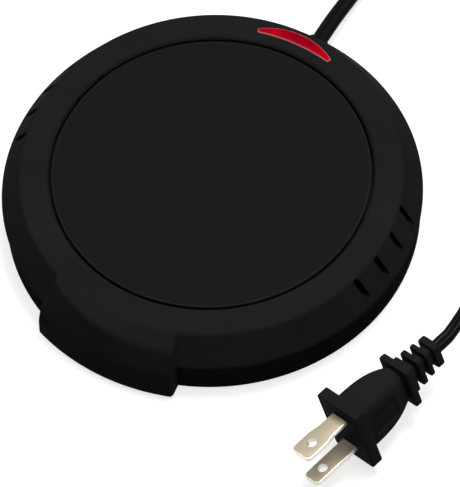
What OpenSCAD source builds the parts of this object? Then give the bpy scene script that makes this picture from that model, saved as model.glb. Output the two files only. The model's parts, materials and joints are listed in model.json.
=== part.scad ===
// Candle warmer: a round plastic casing with a heated plate in its top, an indicator lens by the cord,
// a snap thermostat under the plate and a flat twin mains lead.
// Millimetres, +Z up, +Y towards the cord, the grip faces -Y. The table is at z = 0.

/* [Warming plate] */
// Diameter of the plate
plate_d = 103; // [94:0.5:116]
// Thickness of the plate
plate_t = 1.4; // [1.2:0.1:3]
// Depth of the plate's top below the ring's
plate_drop = 0.8; // [0:0.1:1.2]
// Rounding of the plate's upper edge
plate_round = 0.4; // [0.2:0.1:1]
// Width of the seal under the plate's edge
seal_w = 3; // [2:0.1:3.2]
// Thickness of the seal
seal_t = 0.8; // [0.5:0.1:1.5]
// Diameter of the circle that the plate's studs stand on
stud_ring_d = 64; // [60:0.5:68]
// Diameter of a stud
stud_d = 4; // [3:0.5:5]
// Length of thread that shows below each nut
stud_past = 0.8; // [0.4:0.1:2]

/* [Casing] */
// Gap between the plate and the ring around it
plate_gap = 0.8; // [0.6:0.1:2]
// Width of the flat ring around the plate
ring_w = 9.9; // [9:0.1:14]
// How far the skirt slopes out below the ring
flare = 6.3; // [4:0.1:9]
// Height of the sloping skirt
skirt_h = 11; // [10:0.1:15]
// Rounding of the ring's outer edge
shoulder_round = 2.6; // [0.5:0.1:3]
// Rounding of the ring's inner edge
ring_round = 0.4; // [0.3:0.1:1.5]
// Wall thickness of the casing and the base
wall = 2.2; // [1.6:0.1:2.6]
// How far the ledge reaches in under the plate
ledge_w = 3.5; // [3:0.1:5]
// Diameter of a screw boss
boss_d = 6.5; // [6:0.1:8]

/* [Front grip] */
// How far the grip stands out past the skirt
grip_reach = 3.9; // [2:0.1:6]
// Width of the grip's flat top outside the ring
grip_top = 2.2; // [1:0.1:4]
// Angle that the grip takes up round the casing
grip_span = 41.5; // [24:0.5:60]
// Angle from the -Y side to the middle of the grip
grip_turn = -1; // [-5:0.5:5]
// Rounding of the grip's upper edge
grip_round = 3; // [1:0.1:4]
// Rounding of the grip's upright corners
grip_corner = 2.2; // [0.5:0.1:2.5]
// Height where the grip's face bends back towards the ring
grip_knee = 8; // [5:0.1:11]
// How much the grip narrows from its foot to that bend
grip_lean = 0.9; // [0.3:0.1:1.8]
// Height of the grip's foot above the table
grip_lift = 0.8; // [0.5:0.1:2]
// Gap between the grip and the base behind it
grip_gap = 0.4; // [0.2:0.1:1]

/* [Vents] */
// Number of slots on each side
vent_count = 4; // [2:1:6]
// Width of a slot
vent_w = 1.8; // [1:0.1:2.5]
// Height of a slot
vent_h = 7.4; // [4:0.1:8.2]
// Distance from one slot to the next, which all run the same way
vent_pitch = 10.3; // [6:0.1:11]
// Angle from the +X side to the middle of the slots
vent_turn = 0.5; // [-8:0.5:8]
// Depth of a slot's upper end below the ring's face
vent_drop = 0.5; // [0.4:0.1:2.5]

/* [Indicator] */
// Width of the lens in its middle
lens_w = 4.3; // [3:0.1:4.8]
// Length of the lens from end to end
lens_len = 26.6; // [18:0.2:28]
// Radius of the lens's outer edge
lens_arc_r = 24; // [20:0.5:28]
// Distance from the plate well's wall to the lens
lens_edge = 1.8; // [1:0.1:2.2]
// Angle of the lens's ends from square to its length
lens_end_turn = 24; // [0:1:28]
// Rounding of the corners at the lens's ends
lens_corner = 0.6; // [0.6:0.1:0.8]
// Height of the lens above the ring
lens_proud = 0.4; // [0.2:0.1:1]
// Bevel round the lens's top
lens_bevel = 0.5; // [0.2:0.1:0.8]
// Width of the lip that holds the lens under the ring
lens_lip = 0.5; // [0.3:0.1:0.7]
// Thickness of the lens's lip
lens_lip_t = 1; // [0.6:0.1:1.4]
// Diameter of the lamp's glass
lamp_d = 5.6; // [4:0.1:6]
// Length of the lamp's glass
lamp_len = 13; // [10:0.5:15]

/* [Base] */
// How far the feet stand out below the base
feet_proud = 0.8; // [0.5:0.1:2.5]
// Height of the base's wall up to the skirt
base_wall_h = 12.2; // [11.6:0.1:16]
// Thickness of the base's floor
base_floor = 2.2; // [1.8:0.1:3]
// Step from the skirt's edge in to the base
base_step = 0.5; // [0.3:0.1:1]
// How much the base narrows towards its foot
base_draft = 0.3; // [0:0.1:2]
// Rounding of the base's lower edge
base_round = 0.8; // [0.3:0.1:2]
// Height of the lip inside the skirt
lip_h = 2; // [1:0.1:3]
// Thickness of the lip inside the skirt
lip_t = 1.2; // [0.8:0.1:1.6]
// Diameter of a foot
foot_d = 12; // [8:0.5:16]
// Depth of a foot's seat in the base
foot_seat = 1; // [0.5:0.1:1.4]
// Diameter of the circle that the feet stand on
foot_ring_d = 100; // [80:1:110]
// Diameter of a casing screw
screw_d = 2.9; // [2.5:0.1:3.5]
// Diameter of a casing screw's head
screw_head_d = 5.6; // [5:0.1:6]
// Height of a casing screw's head
screw_head_h = 1.8; // [1.4:0.1:2.4]
// Diameter of a screw post on the base
post_d = 8; // [7.6:0.1:10]
// How far a screw boss reaches below the skirt's edge
boss_drop = 3; // [1:0.1:4]
// Diameter of the heat shield
shield_d = 84; // [76:1:90]
// Thickness of the heat shield
shield_t = 0.5; // [0.3:0.1:1]
// Height of the heat shield above the floor
shield_lift = 1.4; // [1:0.1:2]

/* [Heater] */
// Thickness of each mica sheet
mica_t = 0.5; // [0.3:0.1:1]
// Thickness of the heating ribbon
ribbon_t = 0.3; // [0.2:0.1:0.5]
// Width of the heating ribbon
ribbon_w = 2.4; // [1.6:0.1:2.8]
// Distance from one turn of the ribbon to the next
ribbon_pitch = 4; // [3.4:0.1:5]
// Gap across which the ribbon turns back
ribbon_gap = 7; // [5:0.5:9]
// Distance of the ribbon from the edge of the mica
ribbon_edge = 2; // [1.6:0.1:3]
// Thickness of the pressure plate
pressure_t = 1; // [0.6:0.1:1.6]
// Gap between the heater and the casing's ledge
heater_gap = 1.5; // [1:0.1:3]
// Width of a retaining bar
bar_w = 8; // [7:0.5:10]
// Thickness of a retaining bar
bar_t = 1; // [0.8:0.1:1.5]
// Width of a stud nut across its flats
nut_w = 7; // [6:0.1:8]
// Thickness of a stud nut
nut_t = 3.2; // [2:0.1:3.4]
// Width of a heater tab
tab_w = 3; // [2:0.1:4]
// Thickness of a heater tab
tab_t = 0.6; // [0.4:0.1:1]
// How far the heater tabs hang below the pressure plate
tab_drop = 7.5; // [6:0.1:8]

/* [Thermostat] */
// Diameter of the thermostat's cap
cap_d = 17.4; // [17.2:0.1:18]
// Depth of the cap
cap_h = 4.8; // [4.6:0.1:5.4]
// Wall thickness of the cap
cap_wall = 0.7; // [0.4:0.1:0.8]
// Thickness of the cap's flange
flange_t = 0.8; // [0.5:0.1:1]
// Distance between the flange's two screws
ear_pitch = 24.6; // [24.4:0.1:26]
// Width of the flange's ears
ear_w = 10; // [8:0.5:12]
// Diameter of a thermostat screw
ear_screw_d = 3; // [2.5:0.1:3.2]
// Diameter of the plate's bosses for those screws
ear_boss_d = 6.5; // [5.5:0.1:6.8]
// Depth of the thermostat's body below the flange
pot_h = 6.6; // [6.2:0.1:7]
// Wall thickness of the thermostat's body
pot_wall = 1.4; // [1:0.1:1.6]
// Height of the pin guide
guide_h = 2.6; // [2.2:0.1:2.8]
// Thickness of the bimetal disc
disc_t = 0.35; // [0.2:0.05:0.4]
// Rise of the bimetal disc while it is cold
disc_rise = 0.5; // [0.3:0.05:0.6]
// Diameter of the push pin
pin_d = 2; // [1.6:0.1:2.6]
// Travel of the push pin
pin_travel = 0.6; // [0.4:0.05:0.7]
// Distance from the contact arm's root to the push pin
arm_root = 6; // [5:0.1:6]
// Distance from the push pin to the contacts
arm_reach = 4.6; // [4.2:0.1:4.8]
// Width of the contact arm
arm_w = 3.6; // [2.5:0.1:4]
// Thickness of the contact arm
arm_t = 0.3; // [0.2:0.05:0.4]
// Diameter of the contacts
contact_d = 2.2; // [1.6:0.1:2.4]
// Height of each contact
contact_h = 0.85; // [0.6:0.05:1]
// Width of the terminals
terminal_w = 4.8; // [4:0.1:5]
// Thickness of the terminals
terminal_t = 0.8; // [0.5:0.1:1]
// Distance of the terminals' ends from the middle
terminal_reach = 17; // [13:0.5:17.5]

/* [Fuse and wires] */
// Diameter of the thermal fuse
fuse_d = 4; // [3:0.1:4]
// Length of the thermal fuse
fuse_len = 11; // [8:0.5:14]
// Diameter of the fuse's sleeve
sleeve_d = 5.2; // [5:0.1:6]
// Length of the fuse's sleeve
sleeve_len = 20; // [16:0.5:22]
// Distance of the fuse from the middle
fuse_y = 33; // [31:0.5:34]
// Thickness of the fuse's clip
clip_t = 0.6; // [0.4:0.1:0.9]
// Width of the fuse's clip
clip_w = 8; // [5:0.5:10]
// Diameter of an insulated wire
wire_d = 2.2; // [1.6:0.1:2.4]
// Diameter of a lamp lead
lamp_wire_d = 1.2; // [0.8:0.1:1.4]
// Diameter of a crimp cap
crimp_d = 6.4; // [6:0.1:7]
// Length of a crimp cap
crimp_len = 14; // [10:0.5:14]
// Diameter of the lamp's resistor
resistor_d = 2.6; // [2:0.1:2.8]
// Length of the lamp's resistor
resistor_len = 6.5; // [5:0.5:7]

/* [Cord] */
// Thickness of the flat twin cord
cord_t = 2.8; // [2.4:0.1:3]
// Height of the cord where it leaves the base, above the base's underside
cord_lift = 5.7; // [5.4:0.1:6]
// Width of the bushing in the base's wall
bush_w = 9.4; // [9:0.1:11]
// Height of the bushing in the base's wall
bush_h = 6.2; // [5.4:0.1:6.4]
// Step of the bushing's collars round its neck
bush_step = 1; // [0.6:0.1:1.4]
// Distance between the cord clamp's screws
clamp_pitch = 15; // [14.4:0.1:18]
// Diameter of a clamp screw
clamp_screw_d = 2.4; // [2:0.1:2.8]
// Thickness of the cord clamp
clamp_t = 2.4; // [1.6:0.1:2.6]
// Depth of the cord clamp along the cord
clamp_w = 7; // [5:0.1:8]

/* [Plug] */
// Width of the plug's front flange
flange_w = 17.4; // [14:0.1:18]
// Height of the plug's front flange
flange_h = 24.5; // [22:0.1:26]
// Depth of the plug's front flange
flange_len = 4.1; // [2.5:0.1:5]
// Length of the plug's bell-shaped body
bell_len = 19.3; // [15:0.1:22]
// Width of the bell behind the flange
bell_w = 12.8; // [10:0.1:14]
// Height of the bell behind the flange
bell_h = 18.6; // [15:0.1:20]
// Width of the bell's rear end
bell_rear_w = 7.8; // [7:0.1:10]
// Height of the bell's rear end
bell_rear_h = 12.6; // [9:0.1:13.5]
// Width of the rear collar
collar_w = 12.4; // [10:0.1:13]
// Height of the rear collar
collar_h = 16.7; // [13.6:0.1:18]
// Depth of the rear collar
collar_len = 2.4; // [1.5:0.1:4]
// Length of the ribbed strain relief
relief_len = 13.9; // [13.4:0.1:17]
// Distance between the blades
blade_pitch = 12.7; // [12:0.1:13.4]
// Width of the narrow blade
blade_w = 6.35; // [5.5:0.05:7]
// Width of the wide blade's tip
blade_wide_w = 7.9; // [7.2:0.05:8.4]
// Thickness of a blade
blade_t = 1.5; // [1.2:0.1:1.8]
// Length of a blade
blade_len = 17.4; // [15:0.1:19]
// Diameter of the hole in a blade
blade_hole_d = 3.2; // [2:0.1:3.8]

/* [Hidden] */
$fn = 64;
// Gap between pieces that fit into each other
fit_gap = 0.1;
// Gap all round the push pin in its guide, and between the contacts at rest
run_gap = 0.05;
// Gap between the thermostat's cap and the plate's bosses beside it
cap_gap = 0.3;
// Depth by which joined shapes reach into each other
bite = 0.2;

// Radii of the casing, from the plate outwards
plate_r = plate_d / 2;
ledge_r = plate_r - ledge_w;
well_r = plate_r + plate_gap;
well_out_r = well_r + wall;
shoulder_r = well_r + ring_w;
body_r = shoulder_r + flare;
grip_r = body_r + grip_reach;
base_top_r = body_r - base_step;
base_foot_r = base_top_r - base_draft;
boss_gap = 0.6;
boss_r = well_out_r + boss_gap + boss_d / 2;
heater_r = ledge_r - heater_gap;
stud_r = stud_ring_d / 2;

// Heights, from the table upwards
base_z = feet_proud;
floor_z = base_z + base_floor;
shield_z = floor_z + shield_lift;
shield_top_z = shield_z + shield_t;
cord_z = base_z + cord_lift;
parting_z = base_z + base_wall_h;
top_z = parting_z + skirt_h;
ring_under_z = top_z - wall;
boss_end_z = parting_z - boss_drop;
head_seat_z = base_z + 3.6;

// Heights, from the plate downwards
plate_top_z = top_z - plate_drop;
plate_under_z = plate_top_z - plate_t;
ledge_z = plate_under_z - seal_t;
ribbon_z = plate_under_z - mica_t - ribbon_t;
lower_mica_z = ribbon_z - mica_t;
stack_z = lower_mica_z - pressure_t;
bar_z = stack_z - bar_t;
nut_z = bar_z - nut_t;
stud_end_z = nut_z - stud_past;
tab_end_z = stack_z - tab_drop;

// The skirt's wall, measured level, and its inner face at a height
skirt_wall = wall * norm([flare, skirt_h]) / skirt_h;
function skirt_in(z) = body_r - flare * (z - parting_z) / skirt_h - skirt_wall;

// Vector and outline helpers
function unit(v) = v / norm(v);
function polar(r, a) = [r * cos(a), r * sin(a)];
// An arc of radius r in the corner b between a and c
function fillet(a, b, c, r, n = 6) =
    let (u = unit(a - b),
         v = unit(c - b),
         half = acos(u * v) / 2,
         mid = b + unit(u + v) * r / sin(half),
         p = b + u * r / tan(half) - mid,
         q = b + v * r / tan(half) - mid,
         start = atan2(p[1], p[0]),
         turn = (atan2(q[1], q[0]) - start + 540) % 360 - 180)
    [for (i = [0 : n]) mid + polar(r, start + turn * i / n)];
// A closed outline of [x, y, radius] corners with each corner rounded
function rounded(corners) =
    let (n = len(corners), p = [for (c = corners) [c[0], c[1]]])
    [for (i = [0 : n - 1])
        each corners[i][2] > 0 ? fillet(p[(i + n - 1) % n], p[i], p[(i + 1) % n], corners[i][2]) : [p[i]]];

// Swept tubes: a route is a list of [x, y, z, roll] points, a section a list of [across, up] points
function xyz(p) = [p[0], p[1], p[2]];
function blend(a, b, c, d, t) =
    (2 * b + (c - a) * t + (2 * a - 5 * b + 4 * c - d) * t * t + (3 * b - a - 3 * c + d) * t * t * t) / 2;
// The first and last stretch of a route stay straight
function smooth(route, steps) =
    let (last = len(route) - 1)
    [route[0],
     for (i = [1 : last - 2])
        for (k = [0 : steps - 1])
            blend(route[i - 1], route[i], route[i + 1], route[i + 2], k / steps),
     route[last - 1],
     route[last]];
function heading(route, i) =
    unit(xyz(route[min(i + 1, len(route) - 1)]) - xyz(route[max(i - 1, 0)]));
function ring_points(p, along, side, section) =
    let (across = unit(cross(along, side)), up = cross(across, along))
    [for (s = section)
        xyz(p) + across * (s[0] * cos(p[3]) - s[1] * sin(p[3])) + up * (s[0] * sin(p[3]) + s[1] * cos(p[3]))];
function tube_points(route, section, side) =
    [for (i = [0 : len(route) - 1]) each ring_points(route[i], heading(route, i), side, section)];
function tube_faces(rings, n) =
    [for (k = [0 : rings - 2])
        for (j = [0 : n - 1])
            let (a = k * n + j, b = k * n + (j + 1) % n)
            each [[a, b, b + n], [a, b + n, a + n]],
     for (j = [1 : n - 2]) [0, j + 1, j],
     for (j = [1 : n - 2]) let (e = (rings - 1) * n) [e, e + j, e + j + 1]];
function circle_section(d, n) = [for (j = [0 : n - 1]) polar(d / 2, 360 * j / n)];
module tube(route, section, side = [0, 0, 1]) {
    polyhedron(tube_points(route, section, side), tube_faces(len(route), len(section)));
}
module wire(points, d, side = [0, 0, 1]) {
    route = smooth([for (p = points) [p[0], p[1], p[2], 0]], 3);
    tube(route, circle_section(d, 8), side);
}

// Flat shapes and turned shapes
module turned(outline) {
    rotate_extrude() polygon(outline);
}
module stadium(w, h) {
    square([w - h, h], center = true);
    for (side = [-1, 1]) translate([side * (w - h) / 2, 0]) circle(d = h);
}
module rounded_rect(w, h, r) {
    polygon(rounded([for (s = [[-1, -1], [1, -1], [1, 1], [-1, 1]]) [s[0] * w / 2, s[1] * h / 2, r]]));
}
// Places a flat shape square to +Y at the cord's height
module along_y(y, length) {
    translate([0, y, cord_z]) rotate([-90, 0, 0]) linear_extrude(length) children();
}
// Places a flat shape of the Y and Z axes round the middle of its length on X
module along_x(y, z, length) {
    translate([-length / 2, y, z]) rotate([90, 0, 90]) linear_extrude(length) children();
}
module each_stud() {
    for (a = [30, 150, 270]) rotate([0, 0, a]) translate([stud_r, 0, 0]) children();
}
module each_boss() {
    for (a = [45 : 90 : 315]) rotate([0, 0, a]) translate([boss_r, 0, 0]) children();
}
module each_foot() {
    for (a = [0 : 90 : 270]) rotate([0, 0, a]) translate([foot_ring_d / 2, 0, 0]) children();
}
module each_ear() {
    for (side = [-1, 1]) translate([0, side * ear_pitch / 2, 0]) children();
}

// Casing
casing_outline = rounded([
    [body_r, parting_z, 0.2],
    [shoulder_r, top_z, shoulder_round],
    [well_r, top_z, ring_round],
    [well_r, ledge_z, 0],
    [ledge_r, ledge_z, 0],
    [ledge_r, stack_z, 0],
    [well_out_r, stack_z, 0],
    [well_out_r, ring_under_z, 0],
    [skirt_in(ring_under_z), ring_under_z, 0],
    [body_r - skirt_wall, parting_z, 0]]);
// The grip's section: it hangs from the skirt down over a shallow bay in the base's wall
grip_in_r = base_foot_r - wall / 2 + grip_gap;
grip_bend_r = 12;
grip_outline = rounded([
    [grip_r, grip_lift, 0.6],
    [grip_r - grip_lean, grip_knee, grip_bend_r],
    [shoulder_r + grip_top, top_z, grip_round],
    [shoulder_r - 2 * shoulder_round, top_z, 0],
    [shoulder_r - 2 * shoulder_round, top_z - wall / 2, 0],
    [body_r - skirt_wall / 2, parting_z, 0],
    [grip_in_r, parting_z, 0],
    [grip_in_r, grip_lift, 0]]);
// A sector of the plan from angle a to b round -Y, with rounded outer corners
module plan_sector(a, b, corner) {
    steps = 8;
    arc = [for (i = [1 : steps - 1]) polar(grip_r, -90 + a + (b - a) * i / steps)];
    polygon(rounded(concat(
        [[0, 0, 0], concat(polar(grip_r, -90 + a), corner)],
        [for (p = arc) [p[0], p[1], 0]],
        [concat(polar(grip_r, -90 + b), corner)])));
}
module grip() {
    intersection() {
        turned(grip_outline);
        linear_extrude(top_z + 1)
            plan_sector(grip_turn - grip_span / 2, grip_turn + grip_span / 2, grip_corner);
    }
}
module grip_bay() {
    half = grip_span / 2 + atan(grip_gap / base_foot_r);
    translate([0, 0, base_z - 1]) linear_extrude(base_wall_h + 2) difference() {
        plan_sector(grip_turn - half, grip_turn + half, 0);
        circle(r = grip_in_r - grip_gap);
    }
}
module vents() {
    top = top_z - vent_drop;
    from_r = shoulder_r - shoulder_round;
    for (face = [0, 180])
        for (i = [0 : vent_count - 1]) {
            y = (i - (vent_count - 1) / 2) * vent_pitch;
            from_x = sqrt(pow(from_r, 2) - pow(abs(y) + vent_w / 2, 2));
            rotate([0, 0, face + vent_turn]) translate([from_x, y, top - vent_h / 2])
                rotate([90, 0, 90]) linear_extrude(flare + 3 * wall) rotate(90) stadium(vent_h, vent_w);
        }
}
// The lens's crescent, grown by an edge all round
module crescent(edge) {
    inner_r = well_out_r + lens_edge - edge;
    outer_y = well_out_r + lens_edge + lens_w - lens_arc_r;
    corner = lens_corner + edge;
    end_y = sqrt(pow(well_out_r + lens_edge, 2) - pow(lens_len / 2, 2));
    half = lens_len / 2 + edge / cos(lens_end_turn);
    offset(r = corner) offset(delta = -corner) intersection() {
        difference() {
            translate([0, outer_y]) circle(r = lens_arc_r + edge);
            circle(r = inner_r);
        }
        polygon([for (p = [[-1, -1], [1, -1], [1, 2], [-1, 2]])
            [p[0] * (half + p[1] * lens_w * tan(lens_end_turn)), end_y + p[1] * lens_w]]);
    }
}
module top_casing() {
    color("#222325") difference() {
        union() {
            turned(casing_outline);
            grip();
            each_boss() translate([0, 0, boss_end_z])
                cylinder(d = boss_d, h = ring_under_z - boss_end_z + bite);
        }
        translate([0, 0, ring_under_z - 1]) linear_extrude(wall + 2) crescent(fit_gap);
        vents();
        each_boss() translate([0, 0, boss_end_z - 1])
            cylinder(d = screw_d + fit_gap, h = ring_under_z - boss_end_z);
    }
}

// Warming plate and its seal
plate_outline = rounded([
    [0, plate_under_z, 0],
    [plate_r, plate_under_z, 0],
    [plate_r, plate_top_z, plate_round],
    [0, plate_top_z, 0]]);
flange_top_z = plate_under_z - cap_h;
module warming_plate() {
    color("#1c1d1f") difference() {
        union() {
            turned(plate_outline);
            each_stud() translate([0, 0, stud_end_z])
                cylinder(d = stud_d, h = plate_under_z - stud_end_z + bite);
            difference() {
                each_ear() translate([0, 0, flange_top_z]) cylinder(d = ear_boss_d, h = cap_h + bite);
                translate([0, 0, flange_top_z - 1]) cylinder(d = cap_d + 2 * cap_gap, h = cap_h + 2);
            }
        }
        each_ear() translate([0, 0, flange_top_z - 1])
            cylinder(d = ear_screw_d + fit_gap, h = plate_under_z - flange_top_z);
    }
}
module plate_seal() {
    color("#7d3b33") translate([0, 0, ledge_z]) difference() {
        cylinder(r = plate_r - fit_gap, h = seal_t);
        translate([0, 0, -1]) cylinder(r = plate_r - fit_gap - seal_w, h = seal_t + 2);
    }
}

// Heater stack
heater_hole_r = ear_pitch / 2 + ear_boss_d / 2 + 1;
stud_clear = stud_d / 2 + ribbon_w / 2 + 1;
inner_turns = [for (r = heater_hole_r + ribbon_edge; r <= stud_r - stud_clear; r = r + ribbon_pitch) r];
outer_turns = [for (r = heater_r - ribbon_edge; r >= stud_r + stud_clear; r = r - ribbon_pitch) r];
turns = concat(inner_turns, [for (i = [len(outer_turns) - 1 : -1 : 0]) outer_turns[i]]);
last_turn = len(turns) - 1;
link_x = ribbon_gap / 2 + ribbon_w / 2;
function link_side(i) = i % 2 == 0 ? 1 : -1;
// Free ends of the ribbon, before the heater is turned to face -X
ribbon_ends = [
    [-link_x * link_side(0), turns[0]],
    [-link_x * link_side(last_turn - 1), turns[last_turn]]];
function to_minus_x(p) = [-p[1], p[0]];
tab_live = to_minus_x(ribbon_ends[0]);
tab_neutral = to_minus_x(ribbon_ends[1]);
module heater_disc(z, t) {
    translate([0, 0, z]) difference() {
        cylinder(r = heater_r, h = t);
        translate([0, 0, -1]) cylinder(r = heater_hole_r, h = t + 2);
        each_stud() translate([0, 0, -1]) cylinder(d = stud_d + 4 * fit_gap, h = t + 2);
    }
}
module tab_windows(z, t) {
    for (p = [tab_live, tab_neutral])
        translate([p[0], p[1], z + t / 2]) cube([tab_t + 1.4, tab_w + 1.4, t + 2], center = true);
}
module upper_mica() {
    color("#c9b48a") heater_disc(plate_under_z - mica_t, mica_t);
}
module heating_ribbon() {
    color("#8f8f93") translate([0, 0, ribbon_z]) rotate([0, 0, 90]) linear_extrude(ribbon_t) {
        difference() {
            for (r = turns) difference() {
                circle(r = r + ribbon_w / 2);
                circle(r = r - ribbon_w / 2);
            }
            translate([-ribbon_gap / 2, 0]) square([ribbon_gap, plate_r]);
        }
        for (i = [0 : last_turn - 1])
            translate([link_x * link_side(i) - ribbon_w / 2, turns[i] - ribbon_w / 4])
                square([ribbon_w, turns[i + 1] - turns[i] + ribbon_w / 4]);
    }
}
module lower_mica() {
    color("#c9b48a") difference() {
        heater_disc(lower_mica_z, mica_t);
        tab_windows(lower_mica_z, mica_t);
    }
}
module pressure_plate() {
    color("#9a9c9f") difference() {
        heater_disc(stack_z, pressure_t);
        tab_windows(stack_z, pressure_t);
        translate([0, rivet_y, stack_z - 1]) cylinder(d = rivet_d + fit_gap, h = pressure_t + 2);
    }
}
module heater_tabs() {
    color("#b59a55") for (p = [tab_live, tab_neutral])
        translate([p[0] - tab_t / 2, p[1] - tab_w / 2, tab_end_z]) cube([tab_t, tab_w, ribbon_z - tab_end_z]);
}
module retaining_bars() {
    inner = stud_r - bar_w / 2;
    color("#a3a5a8") translate([0, 0, bar_z]) for (a = [30, 150, 270]) rotate([0, 0, a]) difference() {
        translate([inner, -bar_w / 2, 0]) cube([well_r - inner, bar_w, bar_t]);
        translate([stud_r, 0, -1]) cylinder(d = stud_d + 2 * fit_gap, h = bar_t + 2);
    }
}
module stud_nuts() {
    color("#b9bbbd") each_stud() translate([0, 0, nut_z]) difference() {
        cylinder(d = nut_w / cos(30), h = nut_t, $fn = 6);
        translate([0, 0, -1]) cylinder(d = stud_d + fit_gap, h = nut_t + 2);
    }
}

// Snap thermostat, its parts stacked down from the plate
pot_r = cap_d / 2 - cap_wall - fit_gap;
pot_in_r = pot_r - pot_wall;
flange_z = flange_top_z - flange_t;
pot_end_z = flange_z - pot_h;
rim_h = 0.6;
rim_z = flange_top_z + guide_h + rim_h;
disc_r = pot_r - 2 * fit_gap;
disc_round_r = (disc_r * disc_r + disc_rise * disc_rise) / (2 * disc_rise);
disc_half = asin(disc_r / disc_round_r);
arm_z = flange_z - 3.2;
arm_tail = 0.1;
arm_top_z = arm_z + arm_t;
contact_z = arm_top_z + contact_h + run_gap;
fixed_z = contact_z + contact_h;
pin_low_z = arm_top_z + run_gap;
pin_top_z = rim_z + disc_rise - run_gap;
module thermostat_cap() {
    color("#b4b6b8") difference() {
        union() {
            translate([0, 0, flange_z]) cylinder(d = cap_d, h = plate_under_z - flange_z);
            translate([0, 0, flange_z]) linear_extrude(flange_t) {
                circle(d = cap_d + 3);
                rotate(90) stadium(ear_pitch + ear_w, ear_w);
            }
        }
        translate([0, 0, flange_z - 1]) cylinder(r = pot_r + fit_gap, h = plate_under_z - flange_z + 1 - cap_wall);
        each_ear() translate([0, 0, flange_z - 1]) cylinder(d = ear_screw_d + 2 * fit_gap, h = flange_t + 2);
    }
}
// A thin dish whose rim rests on the guide
module bimetal_disc() {
    n = 10;
    under = [for (i = [0 : n]) polar(disc_round_r, 90 - disc_half * i / n)];
    over = [for (i = [n : -1 : 0]) polar(disc_round_r + disc_t, 90 - disc_half * i / n)];
    color("#a88d57") translate([0, 0, rim_z + disc_rise - disc_round_r]) turned(concat(under, over));
}
module pin_guide() {
    rim_t = 1.2;
    color("#d9d6cc") difference() {
        union() {
            translate([0, 0, flange_top_z]) cylinder(r = pot_r, h = guide_h + rim_h);
            translate([0, 0, flange_z]) cylinder(d = pin_d + 3, h = flange_t + bite);
        }
        translate([0, 0, flange_top_z + guide_h]) cylinder(r = pot_r - rim_t, h = rim_h + 1);
        translate([0, 0, flange_z - 1]) cylinder(d = pin_d + 2 * run_gap, h = guide_h + flange_t + 2);
    }
}
// The pin's lower tip is narrow, so that the arm can tilt under it
module push_pin() {
    tip_r = 0.35;
    color("#efece2") turned([
        [0, pin_low_z],
        [tip_r, pin_low_z],
        [pin_d / 2, pin_low_z + 1],
        [pin_d / 2, pin_top_z],
        [0, pin_top_z]]);
}
module thermostat_pot() {
    shoulder_h = 1.4;
    color("#3a2a22") difference() {
        union() {
            translate([0, 0, pot_end_z]) cylinder(r = pot_r, h = flange_top_z - pot_end_z);
            translate([0, 0, flange_z - shoulder_h]) cylinder(d = cap_d, h = shoulder_h);
        }
        translate([0, 0, pot_end_z + pot_wall]) cylinder(r = pot_in_r, h = pot_h + flange_t);
        translate([0, 0, pot_end_z + pot_wall + bite]) linear_extrude(pot_h + flange_t) arm_plan(fit_gap);
        terminal_slot(-1, arm_z - run_gap - terminal_t);
        terminal_slot(1, fixed_z);
    }
}
module terminal_slot(side, z) {
    reach = cap_d;
    translate([side * reach / 2, 0, z + terminal_t / 2])
        cube([reach, terminal_w + 2 * fit_gap, terminal_t + 2 * run_gap], center = true);
}
// The inner part of a terminal is narrow enough for the body's round hollow
module terminal(side, z, inner_x) {
    step_x = pot_in_r;
    translate([side * (step_x + terminal_reach) / 2, 0, z + terminal_t / 2])
        cube([terminal_reach - step_x, terminal_w, terminal_t], center = true);
    translate([side * (inner_x + step_x) / 2, 0, z + terminal_t / 2])
        cube([step_x - inner_x + bite, arm_w, terminal_t], center = true);
}
// The arm's plan, from its root on -X to the far side of its contact
module arm_plan(grow) {
    translate([-arm_root - arm_tail - grow, -arm_w / 2 - grow])
        square([arm_root + arm_tail + arm_reach + contact_d / 2 + 2 * grow, arm_w + 2 * grow]);
}
module contact_arm() {
    color("#c79a5a") {
        translate([0, 0, arm_z]) linear_extrude(arm_t) arm_plan(0);
        translate([arm_reach, 0, arm_top_z - bite / 4]) cylinder(d = contact_d, h = contact_h + bite / 4);
    }
}
module arm_terminal() {
    color("#c2a566") terminal(-1, arm_z - run_gap - terminal_t, arm_root);
}
module fixed_terminal() {
    color("#c2a566") {
        terminal(1, fixed_z, arm_reach - contact_d / 2);
        translate([arm_reach, 0, contact_z]) cylinder(d = contact_d, h = contact_h + bite);
    }
}
module thermostat_screws() {
    head_d = 5.4;
    head_h = 2;
    color("#aeb0b2") each_ear() {
        translate([0, 0, flange_z - head_h]) cylinder(d = head_d, h = head_h);
        translate([0, 0, flange_z - bite]) cylinder(d = ear_screw_d, h = flange_t + cap_h - 1.5);
    }
}

// Thermal fuse under the pressure plate
fuse_z = stack_z - sleeve_d / 2;
rivet_d = 2.6;
rivet_y = fuse_y + sleeve_d / 2 + clip_t + 3;
module thermal_fuse() {
    pigtail_d = 1;
    color("#c8c9cb") {
        along_x(fuse_y, fuse_z, fuse_len) circle(d = fuse_d);
        along_x(fuse_y, fuse_z, sleeve_len) circle(d = pigtail_d);
    }
}
module fuse_sleeve() {
    color("#e6e3da") along_x(fuse_y, fuse_z, sleeve_len) difference() {
        circle(d = sleeve_d);
        circle(d = fuse_d + fit_gap);
    }
}
module fuse_clip() {
    r = sleeve_d / 2 + fit_gap / 2;
    out_r = r + clip_t;
    ear_y = out_r + 6;
    color("#a7a9ab") {
        along_x(fuse_y, fuse_z, clip_w) difference() {
            union() {
                circle(r = out_r);
                translate([-out_r, 0]) square([2 * out_r, sleeve_d / 2]);
                translate([r, sleeve_d / 2 - clip_t]) square([ear_y - r, clip_t]);
            }
            circle(r = r);
            translate([-r, 0]) square([2 * r, out_r]);
        }
        translate([0, rivet_y, stack_z - clip_t]) {
            cylinder(d = rivet_d, h = clip_t + pressure_t);
            translate([0, 0, -0.8]) cylinder(d = rivet_d + 1.8, h = 1);
        }
    }
}

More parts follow.
